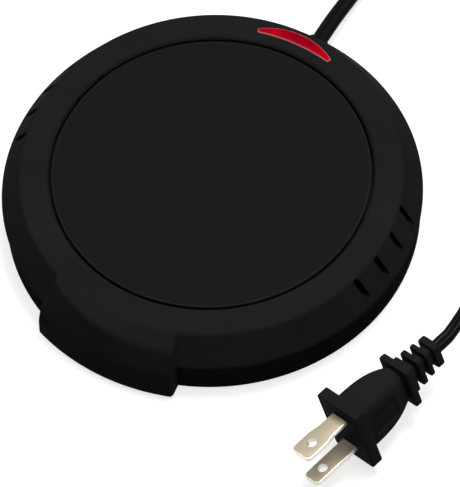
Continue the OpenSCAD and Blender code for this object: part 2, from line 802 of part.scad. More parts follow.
// Indicator
lens_mid_y = well_out_r + lens_edge + lens_w / 2;
lens_lip_z = ring_under_z - lens_lip_t;
lamp_z = lens_lip_z - 0.6 - lamp_d / 2;
lamp_y = lens_mid_y;
lamp_end_x = -lamp_len / 2;
module indicator_lens() {
    color("#c00020") {
        translate([0, 0, lens_lip_z]) linear_extrude(lens_lip_t) intersection() {
            crescent(lens_lip);
            circle(r = skirt_in(ring_under_z) - fit_gap);
        }
        translate([0, 0, lens_lip_z]) linear_extrude(top_z - lens_lip_z) crescent(0);
        translate([0, 0, top_z - bite]) linear_extrude(lens_proud + bite) crescent(-lens_bevel);
    }
}
// A round-ended glass bulb with a flat pinch where its leads come out
module neon_lamp() {
    pinch = 2;
    color("#e8c8b0") {
        translate([lamp_end_x + pinch, lamp_y, lamp_z]) rotate([0, 90, 0]) rotate_extrude() polygon(rounded([
            [0, 0, 0],
            [lamp_d / 2, 0, 0.8],
            [lamp_d / 2, lamp_len - pinch, lamp_d / 2 - 0.4],
            [0, lamp_len - pinch, 0]]));
        translate([lamp_end_x, lamp_y - 0.6, lamp_z - lamp_d / 2 + 0.6]) cube([pinch + bite, 1.2, lamp_d - 1.2]);
    }
}
holder_x = clamp_pitch / 2 + 5.5;
module lamp_holder() {
    leg = 3;
    cradle_r = lamp_d / 2 + fit_gap;
    bar_top_z = lamp_z - cradle_r - 0.2;
    color("#d8d8d2") {
        for (side = [-1, 1]) translate([side * holder_x - leg / 2, lamp_y - leg / 2, floor_z])
            cube([leg, leg, bar_top_z - floor_z]);
        translate([-holder_x - leg / 2, lamp_y - leg / 2, bar_top_z - 1.4]) cube([2 * holder_x + leg, leg, 1.4]);
        for (x = [-1, 1]) translate([x * lamp_len / 5, 0, 0]) along_x(lamp_y, lamp_z, 2) difference() {
            translate([-cradle_r - 0.9, -cradle_r - 0.4]) square([2 * cradle_r + 1.8, cradle_r + 0.4]);
            circle(r = cradle_r);
        }
    }
}

// Base, its feet and what stands on its floor
lip_r = skirt_in(parting_z + lip_h) - 2 * fit_gap;
lip_in_r = lip_r - lip_t;
base_in_r = base_foot_r - wall;
base_outline = rounded([
    [0, base_z, 0],
    [base_foot_r, base_z, base_round],
    [base_top_r, parting_z, 0],
    [lip_r, parting_z, 0],
    [lip_r, parting_z + lip_h, 0],
    [lip_in_r, parting_z + lip_h, 0],
    [lip_in_r, parting_z - 1.2, 0],
    [base_in_r, parting_z - 3, 0],
    [base_in_r, floor_z, 0],
    [0, floor_z, 0]]);
clamp_y = boss_r - 0.5;
clamp_post_d = clamp_screw_d + 3.2;
clamp_z = cord_z + cord_t / 2;
shield_post_r = shield_d / 2 - 6;
module each_shield_post() {
    for (a = [90, 210, 330]) rotate([0, 0, a]) translate([shield_post_r, 0, 0]) children();
}
module each_clamp_post() {
    for (side = [-1, 1]) translate([side * clamp_pitch / 2, clamp_y, 0]) children();
}
module base_cover() {
    stake_d = 2.6;
    color("#17181a") difference() {
        union() {
            turned(base_outline);
            each_boss() translate([0, 0, floor_z - bite]) cylinder(d = post_d, h = boss_end_z - floor_z + bite);
            each_shield_post() {
                translate([0, 0, floor_z - bite]) cylinder(d = 6, h = shield_lift + bite);
                translate([0, 0, floor_z]) cylinder(d = stake_d, h = shield_lift + shield_t + 0.4);
            }
            each_clamp_post() translate([0, 0, floor_z - bite])
                cylinder(d = clamp_post_d, h = clamp_z - floor_z + bite);
            translate([-cord_t, clamp_y - clamp_w / 2, floor_z - bite])
                cube([2 * cord_t, clamp_w, cord_z - cord_t / 2 - floor_z + bite]);
        }
        each_boss() {
            translate([0, 0, base_z - 1]) cylinder(d = screw_d + 4 * fit_gap, h = base_wall_h);
            translate([0, 0, base_z - 1]) cylinder(d = screw_head_d + 4 * fit_gap, h = head_seat_z - base_z + 1);
        }
        each_foot() translate([0, 0, base_z - 1]) cylinder(d = foot_d + 2 * fit_gap, h = foot_seat + 1);
        each_clamp_post() translate([0, 0, floor_z + 0.6])
            cylinder(d = clamp_screw_d + fit_gap, h = clamp_z);
        along_y(base_in_r - 2 * wall, grip_r) stadium(bush_w + 2 * fit_gap, bush_h + 2 * fit_gap);
        grip_bay();
    }
}
foot_outline = rounded([
    [0, 0, 0],
    [foot_d / 2 - 0.6, 0, 0.6],
    [foot_d / 2, base_z, 0],
    [foot_d / 2, base_z + foot_seat, 0],
    [0, base_z + foot_seat, 0]]);
module rubber_feet() {
    color("#101010") each_foot() turned(foot_outline);
}
module casing_screws() {
    thread = ring_under_z - boss_end_z - 3;
    color("#9ea0a2") each_boss() {
        translate([0, 0, head_seat_z - screw_head_h]) cylinder(d = screw_head_d, h = screw_head_h);
        translate([0, 0, head_seat_z - bite]) cylinder(d = screw_d, h = boss_end_z + thread - head_seat_z + bite);
    }
}
module heat_shield() {
    stake_hole = 3;
    color("#c4c6c8") translate([0, 0, shield_z]) difference() {
        cylinder(d = shield_d, h = shield_t);
        each_shield_post() translate([0, 0, -1]) cylinder(d = stake_hole, h = shield_t + 2);
    }
}

// Cord entry
cord_w = 2 * cord_t;
bush_in_y = base_in_r - 1;
bush_out_y = base_top_r;
split_y = heater_r - 0.5;
module twin(grow) {
    for (side = [-1, 1]) translate([side * cord_t / 2, 0]) circle(d = cord_t + 2 * grow);
    square([cord_t, cord_t * 0.6 + 2 * grow], center = true);
}
module cord_bushing() {
    collar = 1.2;
    flange = 1.8;
    tail = grip_r - bush_out_y - collar;
    color("#141415") difference() {
        union() {
            along_y(bush_in_y - flange, flange) stadium(bush_w + 2 * bush_step, bush_h - 0.8);
            along_y(bush_in_y - bite, bush_out_y - bush_in_y + 2 * bite) stadium(bush_w, bush_h);
            along_y(bush_out_y, collar) stadium(bush_w + bush_step, bush_h + bush_step);
            along_y(bush_out_y, collar + tail / 2) stadium(cord_w + 3, cord_t + 3);
            along_y(bush_out_y, collar + tail) stadium(cord_w + 1.8, cord_t + 1.8);
        }
        along_y(bush_in_y - flange - 1, grip_r) twin(run_gap);
    }
}
module cord_inner() {
    color("#191a1b") along_y(split_y, grip_r - split_y) twin(0);
}
module cord_clamp() {
    color("#2a2b2d") difference() {
        translate([-clamp_pitch / 2 - 3, clamp_y - clamp_w / 2, clamp_z]) cube([clamp_pitch + 6, clamp_w, clamp_t]);
        each_clamp_post() translate([0, 0, clamp_z - 1]) cylinder(d = clamp_screw_d + 2 * fit_gap, h = clamp_t + 2);
    }
}
module clamp_screws() {
    head_h = 1.5;
    color("#9ea0a2") each_clamp_post() {
        translate([0, 0, clamp_z + clamp_t]) cylinder(d = clamp_screw_d + 2, h = head_h);
        translate([0, 0, floor_z + 1]) cylinder(d = clamp_screw_d, h = clamp_z + clamp_t - floor_z - 1 + bite);
    }
}

// Wires, which run between the pieces that they join
crimp_z = shield_top_z + crimp_d / 2;
crimp_live = [-17, 34, crimp_z];
crimp_neutral = [-34, 26, crimp_z];
crimp_spot = crimp_d / 4;
resistor_at = [-15, 52.5, lamp_z - 4.3];
module crimp(at) {
    translate(at) rotate([90, 0, 0]) rotate_extrude() polygon(rounded([
        [0, 0, 0],
        [crimp_d / 2, 0, 0.3],
        [crimp_d / 2, crimp_len, 1.2],
        [0, crimp_len, 0]]));
}
module crimp_caps() {
    color("#d9d4c4") {
        crimp(crimp_live);
        crimp(crimp_neutral);
    }
}
module cord_tails() {
    a = crimp_live + [crimp_spot, 0, -0.6];
    b = crimp_neutral + [crimp_spot, 0, -0.8];
    start = [cord_t / 2, split_y, cord_z];
    color("#202122") {
        wire([start, start - [0, 2, 0], start + [-1.6, -5, 0.9], start + [-8, -7, 1.4],
              a + [4, 5, 0.2], a + [0.4, 3.4, 0], a + [0, 2, 0], a], wire_d);
        wire([start - [cord_t, 0, 0], start - [cord_t, 2, 0], start + [-cord_t - 5, -3.4, 0.9],
              start + [-24, -5, 1.4], b + [4.6, 8, 0.6], b + [0.8, 4.4, 0], b + [0, 2, 0], b], wire_d);
    }
}
module fuse_lead() {
    a = crimp_live + [crimp_spot, 0, crimp_spot];
    b = [-sleeve_len / 2, fuse_y, fuse_z];
    color("#8a1f1f") wire([a, a + [0, 2, 0], a + [-0.1, 4.6, 1.2], a + [-0.2, 6, 3.6], b + [-5.6, 5, -1.2],
                           b + [-4.8, 1.6, -0.1], b - [2, 0, 0], b], wire_d);
}
module thermostat_lead() {
    a = [sleeve_len / 2, fuse_y, fuse_z];
    b = [terminal_reach, 0, fixed_z + terminal_t / 2];
    color("#8a1f1f") wire([a, a + [2, 0, 0], a + [6, -3, -0.4], a + [8.4, -10, -1], a + [9, -20, -1.4],
                           b + [4.6, 5.5, 0], b + [4, 0.9, 0], b + [2, 0, 0], b], wire_d);
}
module heater_leads() {
    a = [-terminal_reach, 0, arm_z - run_gap - terminal_t / 2];
    b = [tab_live[0] - tab_t / 2, tab_live[1], tab_end_z + 1.6];
    c = [tab_neutral[0] - tab_t / 2, tab_neutral[1], tab_end_z + 1.6];
    d = crimp_neutral + [-crimp_spot, 0, crimp_spot / 2];
    color("#8a1f1f") {
        wire([a, a - [2, 0, 0], a + [-4.6, -0.8, 0], b + [-4.2, 2.2, 0], b - [2, 0, 0], b], wire_d);
        wire([c, c - [2, 0, 0], c + [-3.6, 3, 0], c + [-3.2, 12, -0.4], [c[0] - 1.5, d[1] - 8, d[2] + 0.8],
              d + [-5.4, 3.6, 0.6], d + [-1.4, 5, 0.2], d + [0, 2, 0], d], wire_d);
    }
}
module lamp_resistor() {
    color("#a98f68") translate(resistor_at) rotate([90, 0, 0]) cylinder(d = resistor_d, h = resistor_len);
}
module lamp_leads() {
    a = [lamp_end_x, lamp_y, lamp_z + 1.1];
    b = [lamp_end_x, lamp_y, lamp_z - 1.1];
    r_end = resistor_at - [0, resistor_len, 0];
    c = crimp_live + [-crimp_spot, 0, 0.4];
    d = crimp_neutral + [crimp_spot, 0, crimp_spot];
    color("#c9b9a0") {
        wire([a, a - [1.4, 0, 0], a + [-4, -1.6, -1.2], resistor_at + [1, 3.4, 1.4], resistor_at + [0, 1.2, 0],
              resistor_at], lamp_wire_d);
        wire([r_end, r_end - [0, 1.4, 0], r_end + [-3.4, -5, -1.4], c + [-0.3, 4.4, 0.8], c + [0, 1.4, 0], c],
             lamp_wire_d);
        wire([b, b - [1.4, 0, 0], b + [-3.6, -2.6, -1.8], [-11.5, 50, crimp_z + 1.8], [-20, 44.6, crimp_z + 1.6],
              d + [5, 10, 0.4], d + [0.6, 4, 0], d + [0, 1.4, 0], d], lamp_wire_d);
    }
}

// The plug lies on the lowest corner of its flange
plug_yaw = -16.2;
plug_pitch = 3.4;
plug_roll = -17.4;
plug_len = flange_len + bell_len + collar_len + relief_len;
flange_corner = 1;
plug_z = cos(plug_pitch) * (flange_corner + (flange_w / 2 - flange_corner) * sin(-plug_roll)
    + (flange_h / 2 - flange_corner) * cos(plug_roll)) + plug_len * sin(plug_pitch);
plug_way = [cos(plug_pitch) * sin(-plug_yaw), cos(plug_pitch) * cos(plug_yaw), sin(plug_pitch)];
plug_end = [91.9, -21.4, plug_z];
// Free cord: hand-chosen points of x, y, z and roll, flat at the body and on edge from there on
cord_near_route = [
    [0, grip_r, cord_z, 0], [0, 79, 6.5, 0], [0, 85, 6.1, 0], [0, 91, 5.2, 0], [0, 97, 4.1, 0],
    [1.2, 104, 3.2, 12], [4.5, 112, 2.7, 35], [10, 120.5, 2.9, 55], [18.5, 129.5, 3, 75], [29, 137, 3, 87],
    [42, 143.3, 3.1, 90], [56, 147, 3.5, 90], [66, 148, 4, 90], [72.4, 148, 4, 90]];
cord_far_route = [
    [114, 106.4, 10.2, 90], [114, 100, 10.2, 90], [113, 88, 8.2, 90], [110.4, 75, 5.4, 90],
    [106.6, 62, 3.8, 90], [102.8, 50, 3.8, 90], [99.4, 39, 4.8, 90], [96.6, 28, 7, 88], [94.8, 18, 10, 84],
    [93.9, 8, 13, 80], [93.7, 0, 15, 76], [94, -8, 16.4, 73], concat(plug_end + 6 * plug_way, 90 + plug_roll),
    concat(plug_end, 90 + plug_roll)];
// The coil spirals in on its lower layer and out on its upper one, clockwise from above
coil_at = [78, 112];
coil_turns = 5.25;
coil_in_r = 26.55;
coil_step = 3.6;
coil_low_z = 4;
coil_layer = 6.2;
coil_start_a = 90;
tie_t = 1;
tie_w = 6;
function climb(u) = let (t = min(max(0.5 + 2 * u, 0), 1)) t * t * (3 - 2 * t);
function coil_point(turn) =
    let (u = turn - coil_turns / 2, flat = coil_at + polar(coil_in_r + abs(u) * coil_step, coil_start_a - 360 * turn))
    [flat[0], flat[1], coil_low_z + coil_layer * climb(u), 90];
coil_rings = 24 * coil_turns;
coil_core = [for (i = [0 : coil_rings]) coil_point(i / 24)];
coil_route = concat(
    [coil_core[0] - [cord_w, 0, 0, 0]], coil_core, [coil_core[coil_rings] - [0, cord_w, 0, 0]]);
free_section = [for (s = [[1, 1], [-1, 1], [-1, -1], [1, -1]])
    each s[0] * s[1] > 0
        ? [[s[0] * cord_w / 2, s[1] * cord_t * 0.21], [s[0] * cord_t * 0.71, s[1] * cord_t / 2]]
        : [[s[0] * cord_t * 0.71, s[1] * cord_t / 2], [s[0] * cord_w / 2, s[1] * cord_t * 0.21]]];
coil_section = [[cord_w / 2, 0], [cord_w / 4, cord_t / 2], [-cord_w / 4, cord_t / 2],
    [-cord_w / 2, 0], [-cord_w / 4, -cord_t / 2], [cord_w / 4, -cord_t / 2]];
// Least gap between one turn of the coil and the next, from points on the sides of the tube
coil_skin = tube_points(coil_core, coil_section, [0, 0, 1]);
coil_gap = min([for (i = [0 : 6 : len(coil_skin) - 6 * 15])
    for (k = [i + 6 * 14 : min(i + 6 * 34, len(coil_skin) - 1)])
        for (j = [0 : 5]) norm(coil_skin[i + j] - coil_skin[k])]);
echo(coil_gap = coil_gap);
module cord_near() {
    color("#191a1b") tube(smooth(cord_near_route, 2), free_section);
}
module cord_coil() {
    color("#191a1b") tube(coil_route, coil_section);
}
module cord_far() {
    color("#191a1b") tube(smooth(cord_far_route, 2), free_section);
}
// A strap round all the turns, away from the place where the coil climbs
tie_a = 315;
tie_in_turns = 0.25;
tie_out_turns = 2.25;
module cord_tie() {
    slack = 0.5;
    in_r = coil_in_r + tie_in_turns * coil_step - cord_t / 2 - slack;
    out_r = coil_in_r + tie_out_turns * coil_step + cord_t / 2 + slack;
    inside_h = coil_layer + cord_w + slack;
    color("#0c0c0c") translate([coil_at[0], coil_at[1], 0]) rotate([0, 0, tie_a]) difference() {
        translate([in_r - tie_t, -tie_w / 2, 0]) cube([out_r - in_r + 2 * tie_t, tie_w, inside_h + 2 * tie_t]);
        translate([in_r, -tie_w, tie_t]) cube([out_r - in_r, 2 * tie_w, inside_h]);
    }
}

// Plug, drawn with its blades along -Y, one above the other, then laid at the cord's end
module as_plug_lies() {
    translate(plug_end) rotate([0, 0, plug_yaw]) rotate([plug_pitch, 0, 0]) rotate([0, plug_roll, 0])
        translate([0, -plug_len, 0]) children();
}
module plug_slab(y, length, w, h, r) {
    translate([0, y, 0]) rotate([-90, 0, 0]) linear_extrude(length) rounded_rect(w, h, r);
}
// One side view of the bell: half-width front at the flange, easing in to rear
function bell_outline(front, rear) =
    let (n = 8, side = [for (i = [0 : n])
        [front + (rear - front) * pow(i / n, 3), flange_len - bite + (bell_len + 2 * bite) * i / n]])
    concat(side, [for (i = [n : -1 : 0]) [-side[i][0], side[i][1]]]);
module plug_body() {
    collar_y = flange_len + bell_len;
    relief_y = collar_y + collar_len;
    color("#1d1e20") as_plug_lies() {
        plug_slab(0, flange_len, flange_w, flange_h, flange_corner);
        intersection() {
            linear_extrude(flange_h, center = true) polygon(bell_outline(bell_w / 2, bell_rear_w / 2));
            rotate([0, 90, 0]) linear_extrude(flange_w, center = true)
                polygon(bell_outline(bell_h / 2, bell_rear_h / 2));
        }
        plug_slab(collar_y, collar_len, collar_w, collar_h, 1);
        plug_slab(relief_y - bite, relief_len + bite, cord_t + 2, cord_w + 1.4, 1.4);
        plug_slab(relief_y - bite, 2.3 + bite, 8, 11.8, 0.8);
        plug_slab(relief_y + 3.9, 2, 8.2, 11.1, 0.8);
        plug_slab(relief_y + 7.7, 1.7, 7.6, 10.5, 0.8);
        plug_slab(relief_y + relief_len - 2.7, 2.7, 7.4, 9.6, 0.8);
    }
}
// A blade with a rounded tip and a hole, whose tip is as wide as tip_w
module blade(z, tip_w) {
    hole_y = -11.9;
    flare_y = -5;
    flare_len = 5.4;
    flare_steps = tip_w > blade_w ? 8 : 0;
    tip_r = 1.6;
    function ease(t) = t * t * (3 - 2 * t);
    side = [for (i = [1 : 1 : flare_steps]) let (t = i / flare_steps)
        [blade_w / 2 + (tip_w - blade_w) / 2 * ease(t), flare_y - flare_len * t, 0]];
    half = concat([[blade_w / 2, 0, 0], [blade_w / 2, flare_y, 0]], side, [[tip_w / 2, -blade_len, tip_r]]);
    last = len(half) - 1;
    color("#b79a6a") as_plug_lies() translate([0, 0, z - blade_t / 2]) difference() {
        linear_extrude(blade_t) polygon(rounded(concat(
            [for (p = half) [-p[0], p[1], p[2]]], [for (i = [last : -1 : 0]) half[i]])));
        translate([0, hole_y, -1]) cylinder(d = blade_hole_d, h = blade_t + 2);
    }
}
module plug_blade_wide() {
    blade(blade_pitch / 2, blade_wide_w);
}
module plug_blade_narrow() {
    blade(-blade_pitch / 2, blade_w);
}

top_casing();
warming_plate();
plate_seal();
upper_mica();
heating_ribbon();
lower_mica();
pressure_plate();
heater_tabs();
retaining_bars();
stud_nuts();
thermostat_cap();
bimetal_disc();
pin_guide();
push_pin();
thermostat_pot();
contact_arm();
arm_terminal();
fixed_terminal();
thermostat_screws();
thermal_fuse();
fuse_sleeve();
fuse_clip();
indicator_lens();
neon_lamp();
lamp_holder();
lamp_resistor();
lamp_leads();
base_cover();
rubber_feet();
casing_screws();
heat_shield();
cord_bushing();
cord_inner();
cord_clamp();
clamp_screws();
crimp_caps();
cord_tails();
fuse_lead();
thermostat_lead();
heater_leads();
cord_near();
cord_coil();
cord_far();
cord_tie();
plug_body();
plug_blade_wide();
plug_blade_narrow();
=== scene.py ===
# Candle warmer: camera, cord, casing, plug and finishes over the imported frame
import json
import math

import bmesh
import bpy
import numpy as np
from mathutils import Matrix, Vector


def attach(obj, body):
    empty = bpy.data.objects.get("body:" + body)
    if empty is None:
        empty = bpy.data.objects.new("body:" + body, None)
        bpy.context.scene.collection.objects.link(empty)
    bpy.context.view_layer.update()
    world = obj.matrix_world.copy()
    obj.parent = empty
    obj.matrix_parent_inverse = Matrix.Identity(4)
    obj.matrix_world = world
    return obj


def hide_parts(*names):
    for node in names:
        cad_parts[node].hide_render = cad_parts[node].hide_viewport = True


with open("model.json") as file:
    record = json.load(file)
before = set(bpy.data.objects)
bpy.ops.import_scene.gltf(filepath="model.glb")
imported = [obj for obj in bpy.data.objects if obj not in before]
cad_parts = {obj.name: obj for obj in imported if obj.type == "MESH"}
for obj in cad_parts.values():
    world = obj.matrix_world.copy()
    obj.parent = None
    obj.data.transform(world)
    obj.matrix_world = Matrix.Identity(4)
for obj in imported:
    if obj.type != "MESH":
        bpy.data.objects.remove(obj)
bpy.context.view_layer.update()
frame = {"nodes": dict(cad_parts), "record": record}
nodes = frame["nodes"]
scene = bpy.context.scene
mm = 0.001


# Node trees, for shaders and for geometry

class Sock:
    # an output socket; arithmetic on it adds Math nodes
    def __init__(self, tree, socket):
        self.tree, self.socket = tree, socket

    def maths(self, operation, first, second):
        return self.tree.add("ShaderNodeMath", {"operation": operation}, {0: first, 1: second})

    def __add__(self, other):
        return self.maths("ADD", self, other)

    def __radd__(self, other):
        return self.maths("ADD", other, self)

    def __sub__(self, other):
        return self.maths("SUBTRACT", self, other)

    def __rsub__(self, other):
        return self.maths("SUBTRACT", other, self)

    def __mul__(self, other):
        return self.maths("MULTIPLY", self, other)

    def __rmul__(self, other):
        return self.maths("MULTIPLY", other, self)

    def __pow__(self, other):
        return self.maths("POWER", self, other)


class NodeTree:
    def __init__(self, group):
        self.group = group
        group.nodes.clear()

    def add(self, kind, settings=None, values=None, out=0):
        node = self.group.nodes.new(kind)
        for key, value in (settings or {}).items():
            setattr(node, key, value)
        for key, value in (values or {}).items():
            if isinstance(value, Sock):
                self.group.links.new(value.socket, node.inputs[key])
            else:
                node.inputs[key].default_value = value
        return Sock(self, node.outputs[out]) if node.outputs else node

    def mixColour(self, factor, first, second):
        # a Mix node's colours are its inputs 6 and 7 and its output 2
        return self.add("ShaderNodeMix", {"data_type": "RGBA"}, {0: factor, 6: first, 7: second}, out=2)

    def noise(self, where, scale, detail=2.0, roughness=0.5):
        return self.add("ShaderNodeTexNoise", None,
                        {"Vector": where, "Scale": scale, "Detail": detail, "Roughness": roughness})

    def between(self, value, low, high):
        # value from low to high, as 0 to 1
        return self.add("ShaderNodeMapRange", None, {"Value": value, "From Min": low, "From Max": high})


def shade(colour, factor):
    return tuple(min(1.0, c * factor) for c in colour[:3]) + (1.0,)


class Finish(NodeTree):
    # a material: a Principled shader whose colour, roughness and bump come from textures
    def __init__(self, name):
        self.material = bpy.data.materials.new(name)
        self.material.use_nodes = True
        super().__init__(self.material.node_tree)
        self.place = self.add("ShaderNodeTexCoord", out=3)  # object coordinates

    def turned(self, angles, scale):
        return self.add("ShaderNodeMapping", None, {"Vector": self.place, "Rotation": angles, "Scale": scale})

    def bump(self, height, depth, strength):
        return self.add("ShaderNodeBump", None, {"Height": height, "Distance": depth, "Strength": strength})

    def tint(self, mask, colour, dark, pale):
        # from the colour's dark shade to its pale one, with the mask
        return self.mixColour(mask, shade(colour, dark), shade(colour, pale))

    def done(self, **sockets):
        names = {"colour": "Base Color", "roughness": "Roughness", "metallic": "Metallic", "normal": "Normal",
                 "specular": "Specular IOR Level", "transmission": "Transmission Weight", "ior": "IOR"}
        shader = self.add("ShaderNodeBsdfPrincipled", None, {names[k]: v for k, v in sockets.items()})
        self.add("ShaderNodeOutputMaterial", None, {"Surface": shader})
        return self.material


# Camera at the photograph's viewing angle

shot = {
    "eye": (299.9, -470.6, 850.8),  # mm
    "target": (15.6, -15.5, 11.95),  # mm
    "roll": 3.11,  # degrees
    "focal": 3104.0,  # pixels of the image
    "longSide": 487,  # pixels
    "sensor": 36.0,  # mm
    "nudge": (-0.24, 0.32),  # mm, to the right and up
    "clip": (0.01, 50),  # metres
}


def makeCamera(shot):
    eye, target = Vector(shot["eye"]) * mm, Vector(shot["target"]) * mm
    back = (eye - target).normalized()
    level = Vector((0, 0, 1)).cross(back).normalized()
    upright = back.cross(level)
    roll = math.radians(shot["roll"])
    right = level * math.cos(roll) - upright * math.sin(roll)
    up = upright * math.cos(roll) + level * math.sin(roll)
    data = bpy.data.cameras.new("studioCamera")
    data.sensor_width = shot["sensor"]
    data.lens = shot["focal"] * shot["sensor"] / shot["longSide"]
    data.clip_start, data.clip_end = shot["clip"]
    camera = bpy.data.objects.new("studioCamera", data)
    scene.collection.objects.link(camera)
    matrix = Matrix((right, up, back)).transposed().to_4x4()
    matrix.translation = eye + (right * shot["nudge"][0] + up * shot["nudge"][1]) * mm
    camera.matrix_world = matrix
    scene.camera = camera


makeCamera(shot)
print("camera: lens %.1f mm" % scene.camera.data.lens)


# Finishes

def mouldedPlastic(name, colour, roughness, specular):
    f = Finish(name)
    cloud = f.noise(f.place, scale=38.0, detail=3.0)
    fine = f.noise(f.place, scale=2600.0)
    return f.done(colour=f.tint(cloud, colour, dark=0.82, pale=1.2), specular=specular,
                  roughness=roughness - 0.05 + cloud * 0.06 + fine * 0.05,
                  normal=f.bump(fine, depth=0.00002, strength=0.35))


def coatedMetal(name, colour, roughness, specular, highlightFrom, highlightTo):
    # a non-stick coating: fine speckle over an even dark film, paler along the rim as a painted highlight
    f = Finish(name)
    level = f.add("ShaderNodeVectorMath", {"operation": "MULTIPLY"}, {0: f.place, 1: (1 / mm, 1 / mm, 0)})
    radius = f.add("ShaderNodeVectorMath", {"operation": "LENGTH"}, {0: level}, out=1)  # mm
    # painted highlight: the film turns paler on the plate's rounded rim
    rim = f.between(radius, highlightFrom, highlightTo)
    speck = f.between(f.noise(f.place, scale=5200.0, detail=1.0), low=0.58, high=0.72)
    cloud = f.noise(f.place, scale=30.0, detail=3.0)
    grain = f.noise(f.place, scale=1800.0, detail=3.0)
    film = f.tint(speck * 0.5 + cloud * 0.3, colour, dark=0.9, pale=1.35)
    return f.done(colour=f.mixColour(rim, film, shade(colour, 1.8)), specular=specular,
                  roughness=roughness + cloud * 0.05 - speck * 0.04,
                  normal=f.bump(grain, depth=0.000015, strength=0.3))


def sheetMetal(name, colour, roughness, along=(0, 0, 0), stretch=(1, 14, 14), metallic=1.0):
    # rolled or plated metal with faint lines one way
    f = Finish(name)
    lines = f.noise(f.turned(along, stretch), scale=160.0, detail=4.0, roughness=0.6)
    cloud = f.noise(f.place, scale=90.0)
    return f.done(colour=f.tint(cloud * 0.6 + lines * 0.4, colour, dark=0.82, pale=1.1), metallic=metallic,
                  roughness=roughness - 0.06 + lines * 0.12,
                  normal=f.bump(lines, depth=0.00001, strength=0.3))


def softRubber(name, colour, roughness, specular):
    f = Finish(name)
    cloud = f.noise(f.place, scale=120.0, detail=3.0)
    grain = f.noise(f.place, scale=1400.0)
    return f.done(colour=f.tint(cloud, colour, dark=0.8, pale=1.3), specular=specular,
                  roughness=roughness - 0.04 + cloud * 0.08,
                  normal=f.bump(grain, depth=0.00001, strength=0.25))


def earthenPiece(name, colour, roughness, grain=700.0):
    # mica, ceramic, phenolic and lacquered bodies
    f = Finish(name)
    flakes = f.noise(f.place, grain, detail=4.0, roughness=0.7)
    return f.done(colour=f.tint(flakes, colour, dark=0.75, pale=1.2),
                  roughness=roughness - 0.08 + flakes * 0.16,
                  normal=f.bump(flakes, depth=0.00003, strength=0.3))


def wovenSleeve(name, colour):
    f = Finish(name)
    weave = f.add("ShaderNodeTexWave", {"wave_type": "BANDS", "bands_direction": "DIAGONAL"},
                  {"Vector": f.place, "Scale": 420.0, "Distortion": 1.0}, out=1)
    return f.done(colour=f.tint(weave, colour, dark=0.7, pale=1.1), roughness=0.85,
                  normal=f.bump(weave, depth=0.0001, strength=0.5))


def lampGlass(name):
    f = Finish(name)
    haze = f.noise(f.place, scale=200.0)
    return f.done(colour=f.mixColour(haze, (0.95, 0.86, 0.78, 1), (1.0, 0.93, 0.86, 1)),
                  roughness=0.04 + haze * 0.05, transmission=0.85, ior=1.5)


lensLook = {
    "red": (0.34, 0.0, 0.008, 1),
    "deep": (0.1, 0.0, 0.004, 1),
    "edge": (0.42, 0.12, 0.14, 1),  # the light that the polished bevel gathers
    "deepReach": 0.00007,  # square of how far the deep middle reaches, in square metres
}


def redLens(name, look, topZ, rimZ):
    f = Finish(name)
    depth = f.noise(f.turned((0, 0, 0), scale=(1, 2.4, 1)), scale=150.0, detail=3.0)
    across, height = (f.add("ShaderNodeSeparateXYZ", None, {"Vector": f.place}, out=axis) for axis in (0, 2))
    middle = 1 - f.between(across * across, 0.0, look["deepReach"])
    deep = f.between(depth, low=0.3, high=0.75) * 0.5 + middle * 0.5
    body = f.mixColour(deep, look["red"], look["deep"])
    return f.done(colour=f.mixColour(f.between(height, topZ, rimZ), body, look["edge"]),
                  roughness=0.16 + depth * 0.06, specular=0.012)


black = {"casing": (0.0092, 0.0092, 0.0093), "base": (0.0064, 0.0064, 0.0065),
         "plate": (0.0069, 0.0069, 0.007), "cord": (0.0012, 0.0012, 0.0013), "plug": (0.0102, 0.0102, 0.0104)}

plugTurn = {"yaw": -16.2, "pitch": 3.4, "roll": -17.4}  # degrees, as the plug lies

